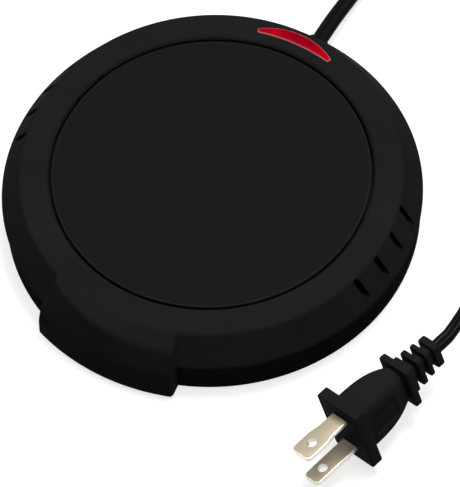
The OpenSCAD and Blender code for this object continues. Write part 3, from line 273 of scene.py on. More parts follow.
finishes = {
    "casing": mouldedPlastic("satinCasing", black["casing"], roughness=0.6, specular=0.002),
    "base": mouldedPlastic("matteBase", black["base"], roughness=0.7, specular=0.0005),
    # the plate's rim band is painted paler, as a highlight
    "plate": coatedMetal("nonStickPlate", black["plate"], roughness=0.5, specular=0.006,
                         highlightFrom=50.8, highlightTo=51.3),
    "plug": mouldedPlastic("satinPlug", black["plug"], roughness=0.5, specular=0.003),
    "cord": softRubber("cordSheath", black["cord"], roughness=0.3, specular=0.05),
    "feet": softRubber("footRubber", (0.012, 0.012, 0.012), roughness=0.7, specular=0.3),
    "tie": softRubber("tieStrap", (0.01, 0.01, 0.011), roughness=0.5, specular=0.4),
    "blade": sheetMetal("nickelBlade", (0.37, 0.318, 0.228), roughness=0.46, metallic=0.3,
                        along=(0, 0, math.radians(-plugTurn["yaw"])), stretch=(14, 1, 14)),
    "seal": softRubber("plateSeal", (0.003, 0.003, 0.003), roughness=0.6, specular=0.05),
    "mica": earthenPiece("micaBoard", (0.5, 0.44, 0.33), roughness=0.45, grain=260.0),
    "ribbon": sheetMetal("resistanceRibbon", (0.42, 0.4, 0.37), roughness=0.4),
    "zinc_steel": sheetMetal("zincSteel", (0.6, 0.61, 0.63), roughness=0.32),
    "tab_brass": sheetMetal("stampedBrass", (0.72, 0.55, 0.25), roughness=0.3),
    "cap_aluminium": sheetMetal("drawnAluminium", (0.75, 0.75, 0.76), roughness=0.3),
    "spring_alloy": sheetMetal("springAlloy", (0.66, 0.48, 0.3), roughness=0.28),
    "phenolic": earthenPiece("brownPhenolic", (0.06, 0.03, 0.018), roughness=0.5, grain=500.0),
    "white_ceramic": earthenPiece("bareCeramic", (0.82, 0.8, 0.76), roughness=0.55),
    "glass_sleeve": wovenSleeve("glassSleeve", (0.75, 0.74, 0.68)),
    "lamp_glass": lampGlass("lampGlass"),
    "white_nylon": mouldedPlastic("naturalNylon", (0.72, 0.72, 0.69), roughness=0.45, specular=0.5),
    "resistor": earthenPiece("lacqueredResistor", (0.5, 0.38, 0.24), roughness=0.35),
    "tinned_wire": sheetMetal("tinnedWire", (0.68, 0.68, 0.68), roughness=0.35),
    "wire": softRubber("siliconeWire", (0.62, 0.6, 0.54), roughness=0.5, specular=0.4),
}
print("finishes:", len(finishes))


# Mesh helpers

def newPiece(name, vertices, faces, slot, body="housing"):
    mesh = bpy.data.meshes.new(name)
    mesh.from_pydata([tuple(v) for v in vertices], [], [tuple(f) for f in faces])
    piece = bpy.data.objects.new(name, mesh)
    scene.collection.objects.link(piece)
    mesh.materials.append(finishes[slot])
    piece["slotName"] = slot
    piece["bodyName"] = body
    return piece


def tidyMesh(piece, sharp=32.0, weld=1e-6):
    # weld, close what a dropped sliver leaves open, face outwards, smooth up to the sharp angle
    bm = bmesh.new()
    bm.from_mesh(piece.data)
    bmesh.ops.remove_doubles(bm, verts=bm.verts, dist=weld)
    bmesh.ops.dissolve_degenerate(bm, edges=bm.edges, dist=weld)
    bmesh.ops.holes_fill(bm, edges=[e for e in bm.edges if e.is_boundary], sides=4)
    bmesh.ops.recalc_face_normals(bm, faces=bm.faces)
    bm.to_mesh(piece.data)
    bm.free()
    smoothBelow(piece, sharp)


def smoothBelow(piece, sharp):
    piece.data.polygons.foreach_set("use_smooth", [True] * len(piece.data.polygons))
    piece.data.set_sharp_from_angle(angle=math.radians(sharp))


def seat(piece, *replaced):
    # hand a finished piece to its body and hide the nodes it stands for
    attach(piece, piece["bodyName"])
    if replaced:
        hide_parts(*replaced)
    return piece


def dress(piece, *looks):
    # new finishes for a mesh; the first one covers it
    piece.data.materials.clear()
    for look in looks:
        piece.data.materials.append(look)
    piece.data.polygons.foreach_set("material_index", [0] * len(piece.data.polygons))


def softCopy(node, slot, name, sharp=12.0, weld=2e-7, bevel=0.0, bevelFrom=40.0):
    # a welded, smooth-shaded copy of a node, with its edges eased where bevel is given
    piece = bpy.data.objects.new(name, nodes[node].data.copy())
    scene.collection.objects.link(piece)
    dress(piece, finishes[slot])
    piece["slotName"], piece["bodyName"] = slot, "housing"
    bm = bmesh.new()
    bm.from_mesh(piece.data)
    bmesh.ops.remove_doubles(bm, verts=bm.verts, dist=weld)
    bm.to_mesh(piece.data)
    bm.free()
    smoothBelow(piece, sharp)
    if bevel:
        ease = piece.modifiers.new("easedEdges", "BEVEL")
        ease.width, ease.segments, ease.limit_method = bevel * mm, 2, "ANGLE"
        ease.angle_limit = math.radians(bevelFrom)
    return seat(piece, node)


def fillet(a, b, c, radius, steps):
    # points of an arc in the corner b between a and c
    a, b, c = (np.array(p[:2], float) for p in (a, b, c))
    u, v = (a - b) / np.linalg.norm(a - b), (c - b) / np.linalg.norm(c - b)
    half = math.acos(np.clip(u @ v, -1, 1)) / 2
    middle = b + (u + v) / np.linalg.norm(u + v) * radius / math.sin(half)
    first, last = b + u * radius / math.tan(half) - middle, b + v * radius / math.tan(half) - middle
    start = math.atan2(first[1], first[0])
    turn = (math.atan2(last[1], last[0]) - start + 3 * math.pi) % (2 * math.pi) - math.pi
    angles = [start + turn * i / steps for i in range(steps + 1)]
    return [middle + radius * np.array((math.cos(t), math.sin(t))) for t in angles]


def roundedPath(corners, steps):
    # an open path through (across, up, radius) corners
    path = [np.array(corners[0][:2], float)]
    for i in range(1, len(corners) - 1):
        radius = corners[i][2]
        path += fillet(corners[i - 1], corners[i], corners[i + 1], radius, steps) if radius else [
            np.array(corners[i][:2], float)]
    return np.array(path + [np.array(corners[-1][:2], float)])


def gridFaces(rings, points, closed):
    # quads between rings of points; the last ring meets the first where closed
    return [(i * points + j, i * points + (j + 1) % points,
             (i + 1) % rings * points + (j + 1) % points, (i + 1) % rings * points + j)
            for i in range(rings if closed else rings - 1) for j in range(points)]


def stackFaces(rings, points):
    # the same between open rings, with a cap on the first and the last
    first, last = range(points), range((rings - 1) * points, rings * points)
    return gridFaces(rings, points, False) + [tuple(first)[::-1], tuple(last)]


def raised(outline, height):
    return np.column_stack([outline, np.full(len(outline), height)])


def arcPoints(middle, radius, start, end, count):
    turn = np.linspace(start, end, count)
    return np.column_stack([middle[0] + radius * np.cos(turn), middle[1] + radius * np.sin(turn)])


def circle(middle, radius, sides=32):
    return arcPoints(middle, radius, 0, 2 * math.pi, sides + 1)[:-1]


def eased(share):
    # 0 to 1 with a soft start and end
    return share * share * (3 - 2 * share)


# Cord: one flat twin lead of three stretches, in millimetres and degrees of roll

cord = {
    "thickness": 2.8,
    "web": 0.62,  # height of the web between the two cores, as a share of the thickness
    "near": [(0, 72.4, 6.5, 0), (0, 79, 6.5, 0), (0, 85, 6.1, 0), (0, 91, 5.2, 0), (0, 97, 4.1, 0),
             (1.2, 104, 3.2, 12), (4.5, 112, 2.7, 35), (10, 120.5, 2.9, 55), (18.5, 129.5, 3, 75),
             (29, 137, 3, 87), (42, 143.3, 3.1, 90), (56, 147, 3.5, 90), (66, 148, 4, 90),
             (72.4, 148, 4, 90)],
    "far": [(114, 106.4, 10.2, 90), (114, 100, 10.2, 90), (113, 88, 8.2, 90), (110.4, 75, 5.4, 90),
            (106.6, 62, 3.8, 90), (102.8, 50, 3.8, 90), (99.4, 39, 4.8, 90), (96.6, 28, 7, 88),
            (94.8, 18, 10, 84), (93.9, 8, 13, 80), (93.7, 0, 15, 76), (94, -8, 16.4, 73),
            (93.57, -15.65, 16.72, 72.6), (91.9, -21.4, 16.37, 72.6)],
    "coilMiddle": (78, 112),
    "coilTurns": 5.25,
    "coilInner": 26.55,
    "coilStep": 3.6,
    "coilLow": 4.0,
    "coilLayer": 6.2,
    "coilRoll": 90,
    "climbTurns": 0.5,  # from the lower layer to the upper one
    "ringsPerTurn": 48,
    "ringsPerPoint": 5,
    "closest": 0.05,  # rings nearer than this to the one before are left out
}


def smoothRoute(route, steps):
    # a curve through the route's points; its first and last stretch stay straight
    p = np.array(route, float)
    points = [p[0]]
    for i in range(1, len(p) - 2):
        a, b, c, d = p[i - 1:i + 3]
        for k in range(steps):
            t = k / steps
            points.append((2 * b + (c - a) * t + (2 * a - 5 * b + 4 * c - d) * t * t
                           + (3 * b - a - 3 * c + d) * t ** 3) / 2)
    return np.array(points + [p[-2], p[-1]])


def coilRoute(cord):
    # in on the lower layer and out on the upper one, clockwise from above
    points = []
    rings = int(cord["ringsPerTurn"] * cord["coilTurns"])
    for i in range(rings + 1):
        turn = i / cord["ringsPerTurn"]
        fromMiddle = turn - cord["coilTurns"] / 2
        climb = min(max(0.5 + fromMiddle / cord["climbTurns"], 0), 1)
        angle = math.radians(90 - 360 * turn)
        radius = cord["coilInner"] + abs(fromMiddle) * cord["coilStep"]
        points.append((cord["coilMiddle"][0] + radius * math.cos(angle),
                       cord["coilMiddle"][1] + radius * math.sin(angle),
                       cord["coilLow"] + cord["coilLayer"] * eased(climb), cord["coilRoll"]))
    return np.array(points)


def twinSection(cord, arc=9):
    # two round cores joined by a thin web, as one outline
    r = cord["thickness"] / 2
    webTurn = math.asin(cord["web"])
    right = [(r + r * math.cos(t), r * math.sin(t))
             for t in np.linspace(-math.pi + webTurn, math.pi - webTurn, 2 * arc + 1)]
    return np.array(right + [(-x, -y) for x, y in right])


def sweep(points, section):
    # rings of the section along the route, level with the ground and rolled
    along = np.gradient(points[:, :3], axis=0)
    along /= np.linalg.norm(along, axis=1)[:, None]
    across = np.cross(along, (0, 0, 1))
    across /= np.linalg.norm(across, axis=1)[:, None]
    up = np.cross(across, along)
    roll = np.radians(points[:, 3])
    c, s = np.cos(roll)[:, None, None], np.sin(roll)[:, None, None]
    x, y = section[None, :, :1], section[None, :, 1:]
    return points[:, None, :3] + across[:, None] * (x * c - y * s) + up[:, None] * (x * s + y * c)


def makeCord(cord):
    near, far = (smoothRoute(cord[stretch], cord["ringsPerPoint"]) for stretch in ("near", "far"))
    points = np.concatenate([near, coilRoute(cord), far])
    apart = np.linalg.norm(np.diff(points[:, :3], axis=0), axis=1)
    points = points[np.r_[True, apart > cord["closest"]]]
    section = twinSection(cord)
    rings = sweep(points, section)
    lead = newPiece("mainsLead", rings.reshape(-1, 3) * mm, stackFaces(len(rings), len(section)), "cord")
    tidyMesh(lead, sharp=60.0)
    path = points[:, :3] * mm
    length = float(np.linalg.norm(np.diff(path, axis=0), axis=1).sum())
    seat(lead, "cord_near", "cord_coil", "cord_far")
    return lead, path, length


lead, leadPath, leadLength = makeCord(cord)
print("cord: %.3f m in %d faces" % (leadLength, len(lead.data.polygons)))


# Casing: a turned shell whose front swells into the grip, with slots and a lens window cut through

casing = {
    "wellRadius": 52.3, "wellOutside": 54.5, "ledgeRadius": 48.0, "ringRound": 1.5,
    "shoulderRadius": 61.8, "shoulderRound": 1.7, "shoulderWall": 1.27,
    "bodyRadius": 68.3, "skirtWall": 2.535,
    "edgeZ": 14.0, "edgeRound": 1.6, "lipRound": 0.5,  # the skirt's lower edge
    "topZ": 24.0, "ringUnderZ": 21.8, "ledgeZ": 21.0, "stackZ": 19.5, "partingZ": 13.0,
}
grip = {
    "span": 41.5, "turn": -1.0,  # degrees, the turn from -Y
    "footRadius": 72.4, "kneeRadius": 71.9, "kneeZ": 11.0, "kneeBend": 18.0,
    "brinkRadius": 67.2, "brinkZ": 23.2, "brinkRound": 2.4,  # its top edge
    "brinkLeft": 63.5, "widenOver": 20.0, "widenPower": 1.6,  # narrower at its left end
    "sink": 2.7, "sinkRound": 1.6, "sinkFrom": -9.0, "sinkOver": 24.0,  # lower and rounder towards its right
    "slopeBend": 4.0, "footZ": 0.8, "footRound": 1.0, "footLand": 0.6,
    "insideRadius": 67.0, "insideLevels": (5.0, 9.0), "flushRadius": 68.25, "flushRound": 0.6,
    "cornerReach": 1.5,  # how far the rounding of its upright corners runs, mm
    "cornerPower": 2.1, "creaseSoft": 0.3,
}
cuts = {  # degrees between the casing's sections
    "fineSpan": 3.0, "fineStep": 0.1, "pastCrease": (0.03, 0.4),  # at each end of the grip
    "gripSpan": 16, "step": 1.0, "restFrom": 1.2, "restTo": 1.1, "decimals": 4, "slack": 1e-4,
}
vent = {"count": 4, "pitch": 10.3, "turn": 0.7, "width": 2.1, "height": 7.7, "drop": 0.4,
        "cutDepth": 14, "outside": 50}  # every slot lies further out than this
lens = {"innerRadius": 56.3, "outerRadius": 24.0, "outerMiddle": 36.6, "halfLength": 13.1, "endTurn": 24.0,
        "turn": 0.3, "corner": 0.6, "leastCorner": 0.05, "proud": 0.4, "bevel": 0.5, "gap": 0.1,
        "past": 1.0,  # how far its wall goes below the ring, and its window's cutter below and above
        "wallDrop": 0.02, "rimRound": 0.08, "faceRound": 0.06, "faceInset": 0.1, "rimBand": 0.05}
boss = {"ring": 58.65, "radius": 3.25, "bore": 1.5, "endZ": 10.0, "start": 45.0, "count": 4, "sharp": 30.0}

ringLevels = np.array([0.25, 0.5, 0.75, 0.96])
upperLevels = np.array([24.0, 23.99, 23.95, 23.87, 23.74, 23.56, 23.3, 23.1, 22.85, 22.6, 22.3, 22.0, 21.6,
                        21.1, 20.5, 19.8, 19.0, 18.0, 17.0, 16.0, 15.2, 14.7, 14.3, 13.9, 13.55, 13.3,
                        13.15, 13.05])
flapLevels = np.array([12.4, 11.6, 10.8, 10.0, 9.2, 8.2, 7.0, 5.8, 4.4, 3.0, 1.8])


def atHeights(path, heights):
    # the path's distance from the axis at each height, for a path that only falls
    order = np.argsort(path[:, 1], kind="stable")
    return np.interp(heights, path[order, 1], path[order, 0])


def casingLoops(casing, grip):
    # sections of one count of points: plain, flush with the base, and the grip's, made for a top edge
    top, foot, parting = casing["topZ"], grip["footZ"], casing["partingZ"]
    wellRadius, shoulder, body = casing["wellRadius"], casing["shoulderRadius"], casing["bodyRadius"]
    underZ, ledge, within = casing["ringUnderZ"], casing["ledgeRadius"], grip["insideRadius"]
    skirt = roundedPath([(wellRadius, top, 0), (shoulder, top, casing["shoulderRound"]),
                         (body, casing["edgeZ"], casing["edgeRound"]), (body, parting, casing["lipRound"]),
                         (within, parting, 0)], steps=12)[1:-1]
    well = roundedPath([(wellRadius, casing["ledgeZ"], 0), (wellRadius, top, casing["ringRound"]),
                        (shoulder, top, 0)], steps=8)[:-1]
    inside = np.array([(body - casing["skirtWall"], parting), (shoulder - casing["shoulderWall"], underZ),
                       (casing["wellOutside"], underZ), (casing["wellOutside"], casing["stackZ"]),
                       (ledge, casing["stackZ"]), (ledge, casing["ledgeZ"])])
    footEnd = np.array([(grip["footRound"] * (math.cos(t) - 1), grip["footRound"] * (1 - math.sin(t)))
                        for t in np.radians([18, 36, 54, 72, 90])])
    walls = np.array([(within + grip["footLand"], foot)]
                     + [(within, z) for z in (foot, *grip["insideLevels"], parting)])

    def section(outer, lower):
        flat = well[-1] + (np.array((outer[0], top)) - well[-1]) * ringLevels[:, None]
        return np.concatenate([well, flat, np.column_stack([outer, upperLevels]), lower, inside])

    def swollen(brinkRadius, brinkZ, brinkRound):
        bulge = roundedPath([(wellRadius, top, 0), (shoulder, top, grip["slopeBend"]),
                             (brinkRadius, brinkZ, brinkRound),
                             (grip["kneeRadius"], grip["kneeZ"], grip["kneeBend"]),
                             (grip["footRadius"], foot, 0)], steps=16)[1:]
        side = np.column_stack([atHeights(bulge, flapLevels), flapLevels])
        return section(atHeights(bulge, upperLevels),
                       np.concatenate([side, footEnd + (grip["footRadius"], foot), walls]))

    skirtOuter = atHeights(skirt, upperLevels)
    under = np.linspace(body - casing["lipRound"], within, len(flapLevels) + len(footEnd) + len(walls))
    plain = section(skirtOuter, raised(under, parting))
    flushSide = np.column_stack([np.full(len(flapLevels), grip["flushRadius"]), flapLevels])
    flushEnd = footEnd * (grip["flushRound"] / grip["footRound"], 1) + (grip["flushRadius"], foot)
    flush = section(skirtOuter, np.concatenate([flushSide, flushEnd, walls]))
    return plain, flush, swollen


def gripSwell(angles, grip, samples=9):
    # 0 outside the grip, 1 inside it, rounded at its upright corners and soft in the crease
    inward = np.radians(grip["span"] / 2 - np.abs(angles)) * grip["footRadius"]
    swell = np.zeros_like(inward)
    for shift in np.linspace(-grip["creaseSoft"], grip["creaseSoft"], samples):
        share = np.clip((inward + shift) / grip["cornerReach"], 0, 1)
        swell += (1 - (1 - share) ** grip["cornerPower"]) ** (1 / grip["cornerPower"]) / samples
    return swell


def closedTurn(loops, angles, name, slot):
    # joins section loops, one for each angle, into a closed ring
    turn = np.radians(angles - 90)
    points = np.stack([loops[:, :, 0] * np.cos(turn)[:, None], loops[:, :, 0] * np.sin(turn)[:, None],
                       loops[:, :, 1]], axis=-1)
    return newPiece(name, points.reshape(-1, 3) * mm, gridFaces(*points.shape[:2], True), slot)


def makeCasing(casing, grip, cuts):
    plain, flush, swollen = casingLoops(casing, grip)
    half, step = grip["span"] / 2, cuts["step"]
    crease = half + math.degrees(grip["creaseSoft"] / grip["footRadius"])
    ends = np.concatenate([crease - np.arange(0, cuts["fineSpan"], cuts["fineStep"]),
                           [crease + past for past in cuts["pastCrease"]]])
    middle = np.arange(-cuts["gripSpan"], cuts["gripSpan"] + step / 2, step)
    rest = np.arange(half + cuts["restFrom"], 360 - half - cuts["restTo"], step)
    angles = np.unique(np.round(np.concatenate([ends, -ends, middle, rest]), cuts["decimals"]))
    wrapped = (angles + 180) % 360 - 180
    swell = gripSwell(wrapped, grip)[:, None, None]
    widen = 1 - (1 - np.clip((wrapped + half) / grip["widenOver"], 0, 1)) ** grip["widenPower"]
    sink = eased(np.clip((wrapped - grip["sinkFrom"]) / grip["sinkOver"], 0, 1))
    brinkRadius = grip["brinkLeft"] + (grip["brinkRadius"] - grip["brinkLeft"]) * widen
    brinkZ, brinkRound = grip["brinkZ"] - grip["sink"] * sink, grip["brinkRound"] + grip["sinkRound"] * sink
    bulge = np.array([swollen(*edge) for edge in zip(brinkRadius, brinkZ, brinkRound)])
    inGrip = (np.abs(wrapped) <= crease + cuts["slack"])[:, None, None]
    loops = np.where(inGrip, flush + (bulge - flush) * swell, plain)
    shell = closedTurn(loops, angles + grip["turn"], "topCasing", "casing")
    tidyMesh(shell)
    return shell


# Geometry Nodes: copies of one shape round the upright axis or in a row, on their own or cut from a piece

def patternTree(name, row, cutting):
    tree = NodeTree(bpy.data.node_groups.new(name, "GeometryNodeTree"))
    face = tree.group.interface
    face.new_socket("Geometry", in_out="OUTPUT", socket_type="NodeSocketGeometry")
    for label, kind in (("Geometry", "Geometry"), ("Shape", "Object"), ("Count", "Int"), ("Start", "Float"),
                        ("Step", "Float"), ("Reach", "Float"), ("Turn", "Float"), ("Finish", "Material")):
        face.new_socket(label, in_out="INPUT", socket_type="NodeSocket" + kind)
    entry = tree.group.nodes.new("NodeGroupInput")
    given = {s.name: Sock(tree, s) for s in entry.outputs if s.name}
    index = tree.add("GeometryNodeInputIndex")
    along = given["Start"] + index * given["Step"]
    place, turn = (0, 0, 0), (0, 0, 0)
    if row:
        # a row across, each copy starting on a circle of the reach
        place = tree.add("ShaderNodeCombineXYZ", None,
                         {"X": (given["Reach"] ** 2 - along ** 2) ** 0.5, "Y": along})
    else:
        turn = tree.add("ShaderNodeCombineXYZ", None, {"Z": along})
    points = tree.add("GeometryNodePoints", None, {"Count": given["Count"], "Position": place})
    shape = tree.add("GeometryNodeObjectInfo", None, {"Object": given["Shape"]}, out=4)  # its mesh
    copies = tree.add("GeometryNodeInstanceOnPoints", None,
                      {"Points": points, "Instance": shape, "Rotation": turn})
    made = tree.add("GeometryNodeRealizeInstances", None, {"Geometry": copies})
    whole = tree.add("ShaderNodeCombineXYZ", None, {"Z": given["Turn"]})
    made = tree.add("GeometryNodeTransform", None, {"Geometry": made, "Rotation": whole})
    if cutting:
        made = tree.add("GeometryNodeMeshBoolean", {"operation": "DIFFERENCE", "solver": "EXACT"},
                        {"Mesh 1": given["Geometry"], "Mesh 2": made})
    made = tree.add("GeometryNodeSetMaterial", None, {"Geometry": made, "Material": given["Finish"]})
    tree.add("NodeGroupOutput", None, {"Geometry": made})
    return tree


cutRow, copyRound = patternTree("cutRow", True, True), patternTree("copyRoundAxis", False, False)


def runTree(piece, tree, **values):
    # set the inputs, bake the result into the piece's own mesh
    modifier = piece.modifiers.new("pattern", "NODES")
    modifier.node_group = tree.group
    for item in tree.group.interface.items_tree:
        if item.in_out == "INPUT" and item.name in values:
            modifier[item.identifier] = values[item.name]
    evaluated = piece.evaluated_get(bpy.context.evaluated_depsgraph_get())
    mesh = bpy.data.meshes.new_from_object(evaluated)
    piece.modifiers.remove(modifier)
    piece.data = mesh


def prism(outline, low, high, name, axes=(0, 1, 2)):
    # an outline drawn up from low to high, closed at both ends; axes says where the outline lies
    points = np.zeros((2 * len(outline), 3))
    points[:, axes] = np.concatenate([raised(outline, low), raised(outline, high)])
    piece = newPiece(name, points * mm, stackFaces(2, len(outline)), "casing")
    tidyMesh(piece)
    return piece


def discard(piece):
    bpy.data.objects.remove(piece)


def cutOut(piece, cutter, finish):
    # take one shape out of a piece, where it is
    runTree(piece, cutRow, Shape=cutter, Count=1, Start=0.0, Step=0.0, Reach=0.0, Turn=0.0, Finish=finish)
    discard(cutter)


def whereLineMeets(start, way, middle, radius):
    # the further of the two points where a line meets a circle
    toStart = start - middle
    ahead = toStart @ way
    return start + way * (math.sqrt(ahead ** 2 - toStart @ toStart + radius ** 2) - ahead)


def crescent(lens, edge, count=56, cornerCount=7):
    # the right half of the lens's outline, from its far edge round the slanted end to its near edge,
    # and its mirror image
    corner, turn = max(lens["corner"] + edge, lens["leastCorner"]), math.radians(lens["endTurn"])
    farRadius, nearRadius = lens["outerRadius"] + edge, lens["innerRadius"] - edge
    middle, axis = np.array((0, lens["outerMiddle"])), np.zeros(2)
    half = lens["halfLength"]
    end = np.array((half, math.sqrt(lens["innerRadius"] ** 2 - half ** 2)))
    way, out = np.array((math.sin(turn), math.cos(turn))), np.array((math.cos(turn), -math.sin(turn)))
    inside = end + out * (edge - corner)
    farCorner = whereLineMeets(inside, way, middle, farRadius - corner)
    nearCorner = whereLineMeets(inside, way, axis, nearRadius + corner)
    farTurn = math.atan2(*(farCorner - middle)[::-1])
    nearTurn = math.atan2(*nearCorner[::-1])
    right = np.concatenate([
        arcPoints(middle, farRadius, math.pi / 2, farTurn, count // 2 + 1)[:-1],
        arcPoints(farCorner, corner, farTurn, -turn, cornerCount),
        arcPoints(nearCorner, corner, -turn, nearTurn - math.pi, cornerCount)[:-1],
        arcPoints(axis, nearRadius, nearTurn, math.pi / 2, count // 2 + 1)])
    whole = np.concatenate([right, right[-2:0:-1] * (-1, 1)])
    c, s = math.cos(math.radians(lens["turn"])), math.sin(math.radians(lens["turn"]))
    return whole @ np.array(((c, s), (-s, c)))


def stadium(width, height, arc=8):
    # a slot's outline, standing on end
    r, reach = width / 2, height / 2 - width / 2
    upper = [(r * math.cos(t), reach + r * math.sin(t)) for t in np.linspace(0, math.pi, arc + 1)]
    return np.array(upper + [(-x, -y) for x, y in upper])


def darkenCuts(shell, vent, casing, slack=0.01):
    # the slots' walls and the well's wall lie in shadow and keep the base's darker black
    dress(shell, finishes["casing"], finishes["base"])
    turn = math.radians(vent["turn"])
    high = casing["topZ"] - vent["drop"]
    low = high - vent["height"]
    places = [vent["pitch"] * (i - (vent["count"] - 1) / 2) for i in range(vent["count"])]
    for polygon in shell.data.polygons:
        x, y, z = polygon.center / mm
        across = y * math.cos(turn) - x * math.sin(turn)
        inSlot = abs(x) > vent["outside"] and low - slack < z < high + slack and any(
            abs(across - place) < vent["width"] / 2 + slack for place in places)
        polygon.material_index = int(inSlot or math.hypot(x, y) < casing["wellRadius"] + 2 * slack)


def cutVents(shell, vent, casing):
    # a row of slots in each side
    middleZ = casing["topZ"] - vent["drop"] - vent["height"] / 2
    slot = prism(stadium(vent["width"], vent["height"]) + (0, middleZ), 0, vent["cutDepth"], "slotCutter",
                 axes=(1, 2, 0))
    for side in (0, 180):
        runTree(shell, cutRow, Shape=slot, Count=vent["count"],
                Start=-vent["pitch"] * (vent["count"] - 1) / 2 * mm, Step=vent["pitch"] * mm,
                Reach=(casing["shoulderRadius"] - casing["shoulderRound"]) * mm,
                Turn=math.radians(side + vent["turn"]), Finish=finishes["casing"])
    discard(slot)


shell = makeCasing(casing, grip, cuts)
cutVents(shell, vent, casing)
window = prism(crescent(lens, lens["gap"]), casing["ringUnderZ"] - lens["past"],
               casing["topZ"] + lens["past"], "windowCutter")
cutOut(shell, window, finishes["casing"])
tidyMesh(shell)
darkenCuts(shell, vent, casing)
seat(shell, "top_casing")
print("casing:", len(shell.data.polygons), "faces")


def makeBosses(boss, casing):
    # tubes under the ring that the casing's screws go into
    low, high = boss["endZ"], casing["ringUnderZ"]
    rings = [raised(circle((boss["ring"], 0), boss[size]), z)
             for size, z in (("bore", low), ("radius", low), ("radius", high), ("bore", high))]
    faces = gridFaces(len(rings), len(rings[0]), True)
    tube = newPiece("bossShape", np.concatenate(rings) * mm, faces, "casing")
    tidyMesh(tube, boss["sharp"])
    holder = newPiece("casingBosses", [], [], "casing")
    runTree(holder, copyRound, Shape=tube, Count=boss["count"], Start=math.radians(boss["start"]),
            Step=2 * math.pi / boss["count"], Turn=0.0, Finish=finishes["casing"])
    discard(tube)
    smoothBelow(holder, boss["sharp"])
    return seat(holder)


makeBosses(boss, casing)


def makeLens(lens, casing):
    # a wall, a polished bevel and a slightly crowned face
    ring, top = casing["topZ"], casing["topZ"] + lens["proud"]
    rows = [(0.0, casing["ringUnderZ"] - lens["past"]), (0.0, ring - lens["wallDrop"]),
            (-lens["rimRound"], ring + lens["rimRound"]),
            (-lens["bevel"] + lens["faceRound"], top - lens["faceRound"]),
            (-lens["bevel"] - lens["faceInset"], top)]
    outlines = [raised(crescent(lens, edge), z) for edge, z in rows]
    band = lens["rimBand"]
    finishes["red_lens"] = redLens("redLens", lensLook, (top - band) * mm, (ring + band) * mm)
    piece = newPiece("indicatorLens", np.concatenate(outlines) * mm,
                     stackFaces(len(rows), len(outlines[0])), "red_lens")
    tidyMesh(piece, sharp=25.0)
    return seat(piece, "indicator_lens")


makeLens(lens, casing)
print("lens in its window")


# Plug: sections from the blades' face back to the cord, then laid as the plug lies

plug = {
    "flange": (17.4, 24.5, 4.1, 1.0),  # width, height, depth, corner
    "bellFront": (12.8, 18.6), "bellRear": (7.8, 12.6), "bellDepth": 19.3, "bellCorner": 3.0,
    "bellPower": 3, "bellSteps": 15,
    "collar": (12.4, 16.7, 2.4, 1.2),
    "core": (4.8, 7.0, 1.4),
    "ribs": [(0, 2.3, 8.0, 11.8), (3.9, 5.9, 8.2, 11.1), (7.7, 9.4, 7.6, 10.5), (11.2, 13.9, 7.4, 9.6)],
    "ribCorner": 1.2, "ribFoot": 0.1,
    "edge": 0.4, "ribEdge": 0.45,  # rounding of every rim
    "panel": (10.6, 9.0, 1.2),  # flat panel in each side: length, height, corner
    "panelAt": (12.2, -0.2, 5.35),  # its middle along and up the side, and its distance from the middle
    "panelCut": 12,  # how far out its cutter goes
    "sharp": 40.0,
}


def roundedRect(width, height, corner, arc=8):
    points = []
    for sx, sy, start in ((1, 1, 0), (-1, 1, 90), (-1, -1, 180), (1, -1, 270)):
        for t in np.radians(np.linspace(start, start + 90, arc + 1)):
            points.append((sx * (width / 2 - corner) + corner * math.cos(t),
                           sy * (height / 2 - corner) + corner * math.sin(t)))
    return np.array(points)


def slabStations(y0, y1, width, height, corner, edge):
    # a slab with its front and rear rims rounded
    front = [(y0 + edge * (1 - math.cos(t)), edge * (1 - math.sin(t))) for t in np.radians([0, 30, 60, 90])]
    rear = [(y1 - edge * (1 - math.cos(t)), edge * (1 - math.sin(t))) for t in np.radians([90, 60, 30, 0])]
    return [(y, width - 2 * cut, height - 2 * cut, corner) for y, cut in front + rear]


def plugStations(plug):
    # flange, bell, collar and ribbed strain relief, and where they end
    width, height, bellY, corner = plug["flange"]
    stations = slabStations(0, bellY, width, height, corner, plug["edge"])
    (w0, h0), (w1, h1) = plug["bellFront"], plug["bellRear"]
    for share in np.linspace(0, 1, plug["bellSteps"]):
        ease = share ** plug["bellPower"]
        stations.append((bellY + plug["bellDepth"] * share, w0 + (w1 - w0) * ease, h0 + (h1 - h0) * ease,
                         plug["bellCorner"]))
    collarY = bellY + plug["bellDepth"]
    width, height, depth, corner = plug["collar"]
    end = reliefY = collarY + depth
    stations += slabStations(collarY, reliefY, width, height, corner, plug["edge"])
    for y0, y1, ribWidth, ribHeight in plug["ribs"]:
        if y0 > 0:
            stations += [(y, *plug["core"]) for y in (end + plug["ribFoot"], reliefY + y0 - plug["ribFoot"])]
        end = reliefY + y1
        stations += slabStations(reliefY + y0, end, ribWidth, ribHeight, plug["ribCorner"], plug["ribEdge"])
    return stations, end


def plugMatrix():
    turn = Matrix.Identity(3)
    for axis, name in (("Z", "yaw"), ("X", "pitch"), ("Y", "roll")):
        turn = turn @ Matrix.Rotation(math.radians(plugTurn[name]), 3, axis)
    return turn


def layPiece(piece, length, cord):
    # from the plug's own axes to where the plug lies, at the cord's end
    flat = np.zeros(3 * len(piece.data.vertices))
    piece.data.vertices.foreach_get("co", flat)
    points = (flat.reshape(-1, 3) / mm - (0, length, 0)) @ np.array(plugMatrix()).T
    points += np.array(cord["far"][-1][:3])
    piece.data.vertices.foreach_set("co", (points * mm).ravel())
    piece.data.update()


